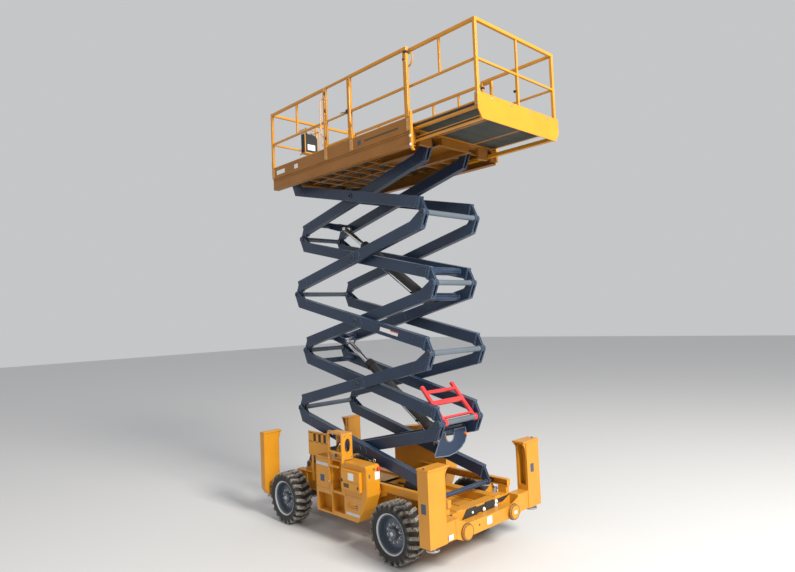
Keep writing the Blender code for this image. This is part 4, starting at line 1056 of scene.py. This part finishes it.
def dress_chassis(s):
    X = MID_X
    coat("chassis_frame", "yellow")
    rounded("chassis_frame", 0.003)
    for n in ("front_axle", "rear_axle", "knuckle_near", "knuckle_far"):
        coat(n, "black")
        rounded(n, 0.004)
    p = Shape("yellow")
    # cover plates over the front bays with cross strips and a stub of box section
    bay = (-0.338, 0.338)
    p.boxes((X, 0, 0), (0.86, 1.635, *bay, 0.618, 0.628), (0.955, 1.05, *bay, 0.628, 0.690))
    for y in (-0.28, 0.0, 0.28):
        p.box(X + 1.06, X + 1.62, y - 0.012, y + 0.012, 0.628, 0.640)
    p.boxes((X, 0, 0), (-1.00, -0.86, *bay, 0.6805, 0.690), (-1.66, -0.97, *bay, 0.706, 0.714),
            (-0.84, -0.12, *bay, 0.706, 0.714))
    for m in (-1, 1):
        for k in range(6):
            x = X - 1.55 + k * 0.55
            p.box(x, x + 0.010, m * 0.455, m * 0.486, 0.47, 0.725)
        for z in (0.7255, 0.451):
            p.box(X - 1.84, X + 1.78, m * 0.4551, m * 0.470, z, z + 0.014)
        # gussets between the frame rail and the track
        gusset = [(m * y, z) for y, z in ((0.640, 0.828), (0.648, 0.70), (0.560, 0.70), (0.4552, 0.69),
                                          (0.4552, 0.735), (0.560, 0.79), (0.597, 0.828))]
        for x in (X + 0.45, X + 1.52):
            p.prism(gusset, "x", x, x + 0.012)
    finished("frame_ribs", p, "chassis", 0.0015)
    q = Shape("black")
    # pump, valve block, tank and their lines in the open bays
    q.box(X + 0.12, X + 0.42, -0.30, -0.02, 0.5405, 0.70)
    q.pipe([(X + 0.20, 0.20, 0.63), (X + 0.80, 0.20, 0.63)], 0.085, 24)
    q.use("steel")
    q.box(X + 0.50, X + 0.74, -0.26, -0.06, 0.5405, 0.66)
    valve_x = [X + 0.53 + k * 0.055 for k in range(4)]
    for x in valve_x:
        q.pipe([(x, -0.16, 0.659), (x, -0.16, 0.715)], 0.018, 14)
    q.use("black")
    q.box(X - 0.78, X - 0.20, -0.31, 0.31, 0.5405, 0.705)
    q.box(X - 1.60, X - 1.02, -0.28, 0.28, 0.5405, 0.69)
    q.use("hose")
    for k, x in enumerate(valve_x):
        y = -0.20 + 0.045 * k
        q.pipe(filleted([(x, -0.16, 0.708), (x, -0.16, 0.732), (X + 0.02 - 0.03 * k, y, 0.725),
                         (X - 0.14, y, 0.716), (X - 0.14, y, 0.60)], 0.05), 0.011, 8)
    run = ((-0.21, 0.10), (-0.12, 0.10), (-0.12, 0.20), (0.21, 0.20))
    q.pipe(filleted([(X + x, y, 0.66) for x, y in run], 0.05), 0.014, 8)
    finished("frame_plant", q, "chassis", 0.004)
    a = Shape("black")
    eye_x = X + 0.86
    for _, m in SIDES:
        # clamps over the axles and the brake line between them
        for ax in (X + 1.040, X - 1.500):
            for x in (ax - 0.045, ax + 0.045):
                bow = ((0.43, 0.462), (0.43, 0.315), (0.34, 0.315), (0.34, 0.462))
                a.pipe(filleted([(x, m * y, z) for y, z in bow], 0.04), 0.009, 8)
        run = ((-1.42, 0.39), (-1.30, 0.43), (0.85, 0.43), (0.98, 0.39))
        a.pipe(filleted([(X + x, m * 0.10, z) for x, z in run], 0.05), 0.012, 8)
    a.use("steel")
    a.pipe([(eye_x, -0.54, 0.410), (eye_x, 0.54, 0.410)], 0.018, 14)
    finished("axle_fittings", a, "chassis", 0.001)
    for name, m in SIDES:
        k = Shape("steel")
        k.pipe([(eye_x, m * 0.588, 0.41), (eye_x, m * 0.610, 0.41)], 0.024, 14)
        finished("steering_eye_" + name, k, "knuckle_" + name, 0.001)


def vent_mesh(length, out):
    """One pressed louvre: a short hood that sheds water downwards."""
    section = ((0, 0.010), (out * 0.012, -0.006), (0, -0.010))
    hood = Shape("yellow")
    hood.faces([[(x, y, z) for y, z in section] for x in (-length / 2, length / 2)])
    return mesh_of(hood, "louvre")


def louvres(name, body, centre, length, height, count, out):
    """Column of louvres in a panel that faces along Y."""
    mesh = vent_mesh(length, out)
    mesh.transform(Matrix.Rotation(-math.pi / 2, 4, "X"))
    grown(name, mesh, field_tree(), body, "yellow", Long=0.0, Wide=height, Columns=1, Rows=count,
          Turn=0.0, Centre=centre, Tilt=(math.pi / 2, 0.0, 0.0), slot="yellow_paint")


def dress_lockers(s):
    X = MID_X
    for n in ("locker_near", "locker_far", "engine_hood", "boarding_steps", "ground_control_cover"):
        coat(n, "yellow")
        rounded(n, 0.004)
    yo = -0.950             # outer face of the near locker
    xf = X + 0.575          # its front face
    p = Shape("yellow")
    # door seams as raised frames
    for x0, x1, z0, z1 in ((-0.590, -0.282, 0.765, 1.205), (0.10, 0.545, 1.150, 1.192),
                           (0.10, 0.470, 0.755, 0.835)):
        for a, b, c, d in ((x0, x1, z0, z0 + 0.006), (x0, x1, z1 - 0.006, z1), (x0, x0 + 0.006, z0, z1),
                           (x1 - 0.006, x1, z0, z1)):
            p.box(X + a, X + b, yo - 0.004, yo, c, d)
    # step edges, corner strips, a bright bar and blank plates on the outer face
    plate = (yo - 0.0012, yo)
    p.boxes((X, 0, 0), (-0.217, -0.193, yo - 0.010, yo, 0.415, 0.755),
            (-0.190, -0.180, yo + 0.001, yo + 0.129, 0.860, 0.876),
            (-0.617, -0.601, -0.945, -0.705, 0.43, 1.22),
            "ring", (-0.590, -0.290, yo - 0.0055, yo, 1.100, 1.145), (0.110, 0.400, *plate, 0.485, 0.525),
            "label_blue", (-0.50, -0.40, *plate, 0.86, 0.96), (0.300, 0.360, *plate, 0.580, 0.650))
    # strip, plates, lamp, stop button and key switch on the front face
    p.boxes((xf, 0, 0), "yellow", (-0.004, 0.003, -0.948, -0.925, 0.81, 1.185),
            "label", (0, 0.0012, -0.790, -0.700, 1.010, 1.120),
            "label_blue", (0, 0.0012, -0.905, -0.880, 1.050, 1.100),
            "lamp", (0, 0.008, -0.718, -0.702, 0.815, 0.885))
    p.use("red")
    p.knob("x", (xf, -0.729, 1.160), ((0, 0.014), (0.012, 0.014), (0.013, 0.028), (0.030, 0.028),
                                      (0.034, 0.018)), 18)
    p.use("steel")
    p.pipe([(xf, -0.812, 1.165), (xf + 0.016, -0.812, 1.165)], 0.014, 16)
    # lifting eye on the top
    p.pipe([(x, -0.725, z) for x, z in circle(X + 0.50, 1.256, 0.022, 16)], 0.006, 8, closed=True)
    # slotted guard plate behind the locker, on its bracket from the frame
    face = (-0.668, -0.660)
    p.boxes((X, 0, 0), "yellow", (-1.190, -0.650, *face, 1.460, 1.490), (-1.190, -0.650, *face, 1.110, 1.330))
    for x0, x1 in ((-1.190, -1.060), (-0.985, -0.925), (-0.850, -0.790), (-0.715, -0.650)):
        p.box(X + x0, X + x1, *face, 1.320, 1.470)
    # black sheet just behind the slots: painted shade seen through them
    p.use("black")
    p.box(X - 1.070, X - 0.705, -0.6595, -0.655, 1.320, 1.470)
    p.use("yellow")
    for x in (-1.13, -0.72):
        p.box(X + x, X + x + 0.05, -0.6595, -0.648, 0.735, 1.470)
        p.box(X + x, X + x + 0.05, -0.6595, -0.4552, 0.700, 0.735)
    finished("locker_fittings", p, "chassis", 0.001)
    pump = Shape("black")
    pump.box(X - 0.96, X - 0.74, -0.645, -0.590, 0.760, 0.800)
    pump.pipe([(X - 0.93, -0.625, 0.840), (X - 0.75, -0.625, 0.840)], 0.034, 20)
    pump.use("steel")
    for k in range(3):
        pump.pipe([(X - 0.90 + 0.07 * k, -0.620, 0.835), (X - 0.90 + 0.07 * k, -0.655, 0.835)], 0.014, 12)
    pump.use("hose")
    for k in range(3):
        x = X - 0.90 + 0.07 * k
        pump.pipe(filleted([(x, -0.652, 0.835), (x, -0.690, 0.835), (x + 0.02, -0.690, 0.700),
                            (x + 0.10, -0.640, 0.640), (X - 0.58, -0.640, 0.620)], 0.05), 0.010, 8)
    finished("side_pump", pump, "chassis", 0.002)
    spots = [((X + x, yo, 0.728), (0, -1, 0)) for x in (-0.570, -0.420, -0.300)]
    spots += [((X + x, yo, 0.700), (0, -1, 0)) for x in (0.15, 0.28, 0.42)]
    spots += [((X + x, yo - 0.030, 1.600), (0, -1, 0)) for x in (-0.230, -0.120, 0.060)]
    spots += [((X - 0.245, yo - 0.030, z), (0, -1, 0)) for z in (0.90, 1.08, 1.24, 1.46)]
    spots += [((X + 0.085, y, z), (1, 0, 0)) for y in (-0.925, -0.810) for z in (1.270, 1.590)]
    spots += [((X + x, 0.950, z), (0, 1, 0)) for x, z in ((-0.55, 0.50), (-0.55, 0.80), (-0.55, 1.15),
                                                          (0.50, 0.90), (0.50, 1.15))]
    bolts("locker_bolts", "chassis", spots, 0.018)
    louvres("locker_louvres", "chassis", (X - 0.06, 0.950, 0.86), 0.42, 0.30, 9, 1)
    louvres("locker_louvres_low", "chassis", (X + 0.24, yo, 0.62), 0.20, 0.06, 3, -1)
    # boarding cage: rounded top hoop, rim of the oval opening, hose and the lamp
    c = Shape("yellow")
    c.pipe(filleted([(X + x, -0.968, z) for x, z in ((-0.245, 1.619), (-0.245, 1.642), (0.070, 1.642),
                                                     (0.070, 1.619))], 0.012), 0.007, 8)
    c.pipe([(X + 0.0855, -0.872 + 0.056 * a, 1.44 + 0.106 * b) for a, b in turns(32)], 0.0045, 8, closed=True)
    c.use("hose")
    c.pipe(filleted([(X - 0.19, -0.88, 1.236), (X - 0.19, -0.88, 1.40), (X - 0.06, -0.86, 1.50),
                     (X + 0.03, -0.84, 1.36), (X + 0.03, -0.84, 1.236)], 0.09, 8), 0.013, 8)
    c.use("lamp")
    c.pipe([(X + 0.029, -0.841, 1.300), (X + 0.029, -0.841, 1.345)], 0.017, 14)
    finished("boarding_fittings", c, "chassis", 0.001)
    # cover of the ground controls: two raised fields, hinge, latch and blank plates
    g = Shape("yellow")
    left, right = X + 0.069, X + 0.480
    face = yo - 0.0503
    g.boxes((left, face, 0), (0.012, right - left - 0.012, -0.004, 0, 0.862, 0.968),
            (0.012, right - left - 0.012, -0.004, 0, 0.980, 1.118),
            "black", (0.0005, 0.040, -0.006, 0, 0.955, 1.000),
            (right - left - 0.034, right - left - 0.020, -0.016, -0.004, 0.895, 0.935),
            "label", (0.165, 0.287, -0.0052, -0.004, 1.000, 1.100),
            "label_dark", (0.060, 0.180, -0.0052, -0.004, 0.885, 0.945))
    finished("ground_control_face", g, "control_cover", 0.0015)
    # far side: hood latches, louvres and a vent pipe
    louvres("hood_louvres", "hood", (X - 0.06, 0.9455, 1.345), 0.34, 0.11, 4, 1)
    k = Shape("black")
    for x in (-0.40, 0.30):
        k.box(X + x, X + x + 0.05, 0.9452, 0.957, 1.265, 1.300)
    vent = [(X + 0.26, 0.80, 1.482), (X + 0.26, 0.80, 1.535), (X + 0.34, 0.80, 1.560)]
    k.pipe(filleted(vent, 0.04), 0.022, 14)
    finished("hood_fittings", k, "hood", 0.0015)


# ------------------------------------------------------------ lift gear on the stack
def dress_lift(s):
    for n in ("lift_barrel_low", "lift_barrel_high"):
        coat(n, "black")
    for n in ("lift_rod_low", "lift_rod_high"):
        coat(n, "chrome")
    hinge = arm_ends(2, False)[0]
    along = Vector((math.cos(PROP_ANGLE), 0, math.sin(PROP_ANGLE)))
    over = Vector((-along.z, 0, along.x))
    base = Vector((hinge[0], 0, hinge[1]))

    def slab(q, d0, d1, w, y0, y1):
        corners = [base + along * d + over * v for d, v in ((d0, -w), (d1, -w), (d1, w), (d0, w))]
        q.prism([(p.x, p.z) for p in corners], "y", y0, y1)
    q = Shape("red")
    inner = IN_Y - ARM_W / 2
    for m in (-1, 1):
        slab(q, 0.020, PROP_L, 0.020, m * (inner - 0.072), m * (inner - 0.014))
        q.pipe([base + Vector((0, m * (inner - gap), 0)) for gap in (0.072, 0.014)], 0.050, 24)
    for d0, d1 in ((0.490, 0.535), (0.290, 0.360), (0.062, 0.092)):
        slab(q, d0, d1, 0.016, -(inner - 0.060), inner - 0.060)
    q.use("steel")
    q.pipe([base + along * 0.325 + over * w for w in (0.0155, 0.022)], 0.018, 12)
    finished("prop_frame", q, "prop", 0.003, stands_for=("safety_prop",))
    for n in ("low", "high"):
        stage = 1 if n == "low" else 3
        a = arm_place(*arm_ends(stage, False))(ARM_L * 0.83, -0.060)
        b = arm_place(*arm_ends(stage + 2, False))(ARM_L * 0.20, -0.060)
        d = Vector((b[0] - a[0], 0, b[1] - a[1])).normalized()
        side = Vector((-d.z, 0, d.x))
        o = Vector((a[0], 0, a[1]))
        q = Shape("black")
        for at, w in ((0.10, 0.082), (1.60, 0.084), (0.85, 0.074)):
            q.pipe([o + d * at, o + d * (at + 0.045)], w, 28)
        for m in (-1, 1):
            for at in (0.35, 1.25):
                q.box(*box_about(o + d * at + side * 0.085, 0.022, m * 0.030, 0.012))
        q.use("steel")
        q.pipe(filleted([o + d * 0.14 + side * 0.070, o + d * 0.14 + side * 0.105, o + d * 1.50 + side * 0.105,
                         o + d * 1.50 + side * 0.070], 0.04), 0.009, 8)
        q.use("lamp" if n == "low" else "steel")
        q.pipe([o + d * 0.22 + side * 0.068, o + d * 0.22 + side * 0.118], 0.020, 12)
        finished("barrel_fittings_" + n, q, "barrel_" + n, 0.001)
    # hose run clipped inside the near arms, stage by stage
    pitch_y = 0.020         # hoses side by side
    for i in range(1, STAGES + 1):
        put = arm_place(*arm_ends(i, False))
        h = Shape("hose")
        start = PROP_L + 0.10 if i == 2 else 0.20       # clear of the prop
        for k in range(3):
            y = -inner + pitch_y + pitch_y * k
            stops = ((start, -0.03), (start + 0.08, 0.0), (ARM_L * 0.5, 0.0), (ARM_L - 0.28, 0.0),
                     (ARM_L - 0.20, -0.03))
            line = [put(u, tube_mid(u) + 0.035 + v) for u, v in stops]
            h.pipe([(q[0], y, q[1]) for q in line], 0.0085, 8)
        h.use("steel")
        for u in (0.85 if i == 2 else 0.45, 1.05, 2.1, 2.7):
            c = put(u, tube_mid(u) + 0.035)
            h.box(*box_about(Vector((c[0], -inner + 0.036, c[1])), 0.020, 0.0355, 0.015))
        finished(f"hose_run_{i}", h, f"inner_{i}")
    # guard plate with a curved lower edge across the first inner arms, and the small lamp on it
    put = arm_place(*arm_ends(1, False))
    g = Shape("arm")
    notch = [(-0.015 + 0.085 * math.cos(a), -0.175 - 0.085 * math.sin(a))
             for a in [math.pi * k / 10 for k in range(11)]]
    rim = [(0.345, -0.230), (0.330, -0.120), (0.300, -0.100), (0.080, -0.100)] + notch
    rim += [(-0.110, -0.100), (-0.150, -0.110), (-0.230, -0.200), (-0.345, -0.400), (-0.330, -0.420),
            (-0.060, -0.450), (0.100, -0.430), (0.230, -0.375), (0.310, -0.310)]
    gx, gz = put(ARM_L - 0.225, -0.100)
    g.faces([[(x, y, gz + 0.100 + w) for y, w in rim] for x in (gx - 0.010, gx)])
    # rim in the lighter copy of the arm paint, a painted highlight on the plate's edge
    g.use("tube")
    g.pipe([(gx, y, gz + 0.100 + w) for y, w in rim], 0.006, 8, closed=True)
    g.use("arm")
    lug = [put(ARM_L - 0.300, -0.110), put(ARM_L - 0.228, -0.100), (gx - 0.001, gz - 0.150)]
    for m in (-1, 1):
        g.prism(lug, "y", m * 0.337, m * 0.347)
    g.use("lamp")
    g.pipe([(gx, 0.305, gz - 0.090), (gx + 0.035, 0.305, gz - 0.090)], 0.020, 14)
    finished("joint_guard", g, "inner_1", 0.002)
    # blank plate on the third outer arm
    put = arm_place(*arm_ends(3, True))
    y = -(OUT_Y + ARM_W / 2)
    g = Shape("label")
    for name, u1, w0, y0, y1 in (("label", 1.00, -0.030, y - 0.001, y),
                                 ("red", 0.78, 0.012, y - 0.0018, y - 0.001)):
        g.use(name)
        g.prism([put(u, tube_mid(u) + w) for u, w in ((0.62, w0), (u1, w0), (u1, 0.030), (0.62, 0.030))],
                "y", y0, y1)
    finished("arm_plate", g, "outer_3")


def box_about(c, dx, dy, dz):
    """Corners of a box from its middle and half sizes, in the order Shape.box takes."""
    return c.x - dx, c.x + dx, c.y - dy, c.y + dy, c.z - dz, c.z + dz


# ------------------------------------------------------------ stage
CAMERA_PLACE = (6.696, -6.381, 3.287)
CAMERA_YAW, CAMERA_PITCH, CAMERA_ROLL = [math.radians(a) for a in (46.342, 2.928, -2.323)]
LENS = 27.12
FLOOR_HALF = 60.0


def set_stage(s):
    scene = bpy.context.scene
    mat = bpy.data.materials.new("floor")
    mat.use_nodes = True
    p = mat.node_tree.nodes["Principled BSDF"]
    p.inputs["Base Color"].default_value = (0.66, 0.66, 0.66, 1)
    p.inputs["Roughness"].default_value = 0.85
    mesh = bpy.data.meshes.new("floor")
    corners = [(FLOOR_HALF * x, FLOOR_HALF * y, 0) for x, y in ((-1, -1), (1, -1), (1, 1), (-1, 1))]
    mesh.from_pydata(corners, [], [(0, 1, 2, 3)])
    mesh.materials.append(mat)
    floor = bpy.data.objects.new("floor", mesh)
    scene.collection.objects.link(floor)
    world = bpy.data.worlds.new("studio")
    scene.world = world
    world.use_nodes = True
    bg = world.node_tree.nodes["Background"]
    bg.inputs["Color"].default_value = (0.965, 0.975, 1.0, 1)
    bg.inputs["Strength"].default_value = s.fill

    def area(name, place, target, size, power, colour):
        light = bpy.data.lights.new(name, "AREA")
        light.size = size
        light.energy = power
        light.color = colour
        ob = bpy.data.objects.new(name, light)
        scene.collection.objects.link(ob)
        ob.location = place
        ob.rotation_mode = "QUATERNION"
        ob.rotation_quaternion = (Vector(target) - Vector(place)).to_track_quat("-Z", "Y")
    area("key", (15.5, -1.6, 12.0), (0, 0, 2.8), 5.0, s.key, (1.0, 0.965, 0.90))
    area("side", (-9.0, -13.0, 8.0), (0, 0, 3.0), 9.0, s.side, (0.93, 0.96, 1.0))
    area("back", (-8.0, 12.0, 11.0), (0, 0, 3.0), 9.0, s.side * 0.8, (0.95, 0.97, 1.0))
    cam = bpy.data.cameras.new("camera")
    cam.sensor_width = 36.0
    cam.lens = LENS
    cam.clip_start = 0.05
    cam.clip_end = 300.0
    ob = bpy.data.objects.new("camera", cam)
    scene.collection.objects.link(ob)
    right = Vector((math.cos(CAMERA_YAW), math.sin(CAMERA_YAW), 0))
    flat = Vector((-right.y, right.x, 0))
    ahead = flat * math.cos(CAMERA_PITCH) + Vector((0, 0, 1)) * math.sin(CAMERA_PITCH)
    up = right.cross(ahead)
    across = right * math.cos(CAMERA_ROLL) + up * math.sin(CAMERA_ROLL)
    above = up * math.cos(CAMERA_ROLL) - right * math.sin(CAMERA_ROLL)
    turn = Matrix((across, above, -ahead)).transposed().to_4x4()
    ob.matrix_world = Matrix.Translation(CAMERA_PLACE) @ turn
    scene.camera = ob
    scene.view_settings.view_transform = "Standard"


# ------------------------------------------------------------ settings, operators and panel
def paint(label, about, name):
    """Colour setting that starts from a finish of the table."""
    return bpy.props.FloatVectorProperty(name=label, description=about, subtype="COLOR", size=3, min=0, max=1,
                                         default=FINISHES[name][0])


class LiftPaint(bpy.types.PropertyGroup):
    """Colours a user would change."""
    yellow: paint("Yellow paint", "Colour of rails, jacks and frame", "yellow")
    # the deck paint is the darker copy of the yellow, painted shade for the deck's sides and underside
    amber: paint("Deck paint", "Colour of the deck and its joists", "amber")
    arm: paint("Arm paint", "Colour of the crossing arms", "arm")


class LiftWheels(bpy.types.PropertyGroup):
    """Tread and nuts."""
    lug_count: bpy.props.IntProperty(name="Lugs", description="Chevron bars on each half of the tread",
                                     default=22, min=8, max=48)
    lug_depth: bpy.props.FloatProperty(name="Lug depth", description="Share of the full bar height",
                                       default=1.0, min=0.3, max=1.0, subtype="FACTOR")
    wheel_nuts: bpy.props.IntProperty(name="Wheel nuts", description="Nuts on each wheel",
                                      default=10, min=4, max=16)


class LiftArms(bpy.types.PropertyGroup):
    """Small plates and sleeves on the arms."""
    plate: bpy.props.FloatProperty(name="Doubler plate", description="Thickness of the plates at the joints",
                                   default=0.0015, min=0.0005, max=0.004, unit="LENGTH")
    sleeve_radius: bpy.props.FloatProperty(name="Sleeve radius", description="Radius of the sleeve over a pin",
                                           default=0.039, min=0.035, max=0.045, unit="LENGTH")


class LiftStage(bpy.types.PropertyGroup):
    """Light of the stage."""
    key: bpy.props.FloatProperty(name="Key light", description="Power of the warm light",
                                 default=5000.0, min=0)
    side: bpy.props.FloatProperty(name="Side light", description="Power of the cool lights",
                                  default=45.0, min=0)
    fill: bpy.props.FloatProperty(name="Fill", description="Brightness of the surroundings",
                                  default=0.58, min=0)


def job(name, label, doc, run, group):
    """Operator class for one group of pieces."""
    def execute(self, context):
        run(getattr(context.scene, group))
        return {"FINISHED"}
    return type("LIFT_OT_" + name, (bpy.types.Operator,), {
        "__doc__": doc, "bl_idname": "scissor_lift." + name, "bl_label": label, "execute": execute})


JOBS = (
    job("wheels", "Wheels", "Tyres, lugs, rims and nuts", dress_wheels, "lift_wheels"),
    job("arms", "Arms", "Plates, sleeves and pin bolts on the crossing arms", dress_arms, "lift_arms"),
    job("lift_gear", "Lift gear", "Cylinders, hoses and the prop", dress_lift, "lift_arms"),
    job("platform", "Platform", "Deck, rails and their fittings", dress_platform, "lift_paint"),
    job("roll_out", "Roll-out deck", "Trim of the sliding deck", dress_roll_out, "lift_paint"),
    job("controls", "Platform controls", "Control box and its guard", dress_controls, "lift_paint"),
    job("jacks", "Jack legs", "Legs, beams, rams and brackets", dress_jacks, "lift_paint"),
    job("chassis", "Chassis", "Frame, axles and hydraulic gear", dress_chassis, "lift_paint"),
    job("lockers", "Lockers", "Side lockers, steps and ground controls", dress_lockers, "lift_paint"),
    job("stage", "Stage", "Floor, lights and camera", set_stage, "lift_stage"),
)


class LIFT_PT_panel(bpy.types.Panel):
    """Lists the settings and the jobs."""
    bl_label = "Scissor lift"
    bl_idname = "LIFT_PT_panel"
    bl_space_type = "VIEW_3D"
    bl_region_type = "UI"
    bl_category = "Scissor lift"

    def draw(self, context):
        for group in GROUPS:
            settings = getattr(context.scene, group)
            for key in settings.bl_rna.properties.keys():
                if key not in ("rna_type", "name"):
                    self.layout.prop(settings, key)
        for cls in JOBS:
            self.layout.operator(cls.bl_idname)


GROUPS = {"lift_paint": LiftPaint, "lift_wheels": LiftWheels, "lift_arms": LiftArms, "lift_stage": LiftStage}


def register():
    for name, cls in GROUPS.items():
        bpy.utils.register_class(cls)
        setattr(bpy.types.Scene, name, bpy.props.PointerProperty(type=cls))
    for cls in JOBS + (LIFT_PT_panel,):
        bpy.utils.register_class(cls)


def unregister():
    for cls in (LIFT_PT_panel,) + JOBS[::-1]:
        bpy.utils.unregister_class(cls)
    for name, cls in GROUPS.items():
        delattr(bpy.types.Scene, name)
        bpy.utils.unregister_class(cls)


def main():
    register()
    for cls in JOBS:
        getattr(bpy.ops.scissor_lift, cls.bl_idname.split(".")[1])()


if __name__ == "__main__":
    main()
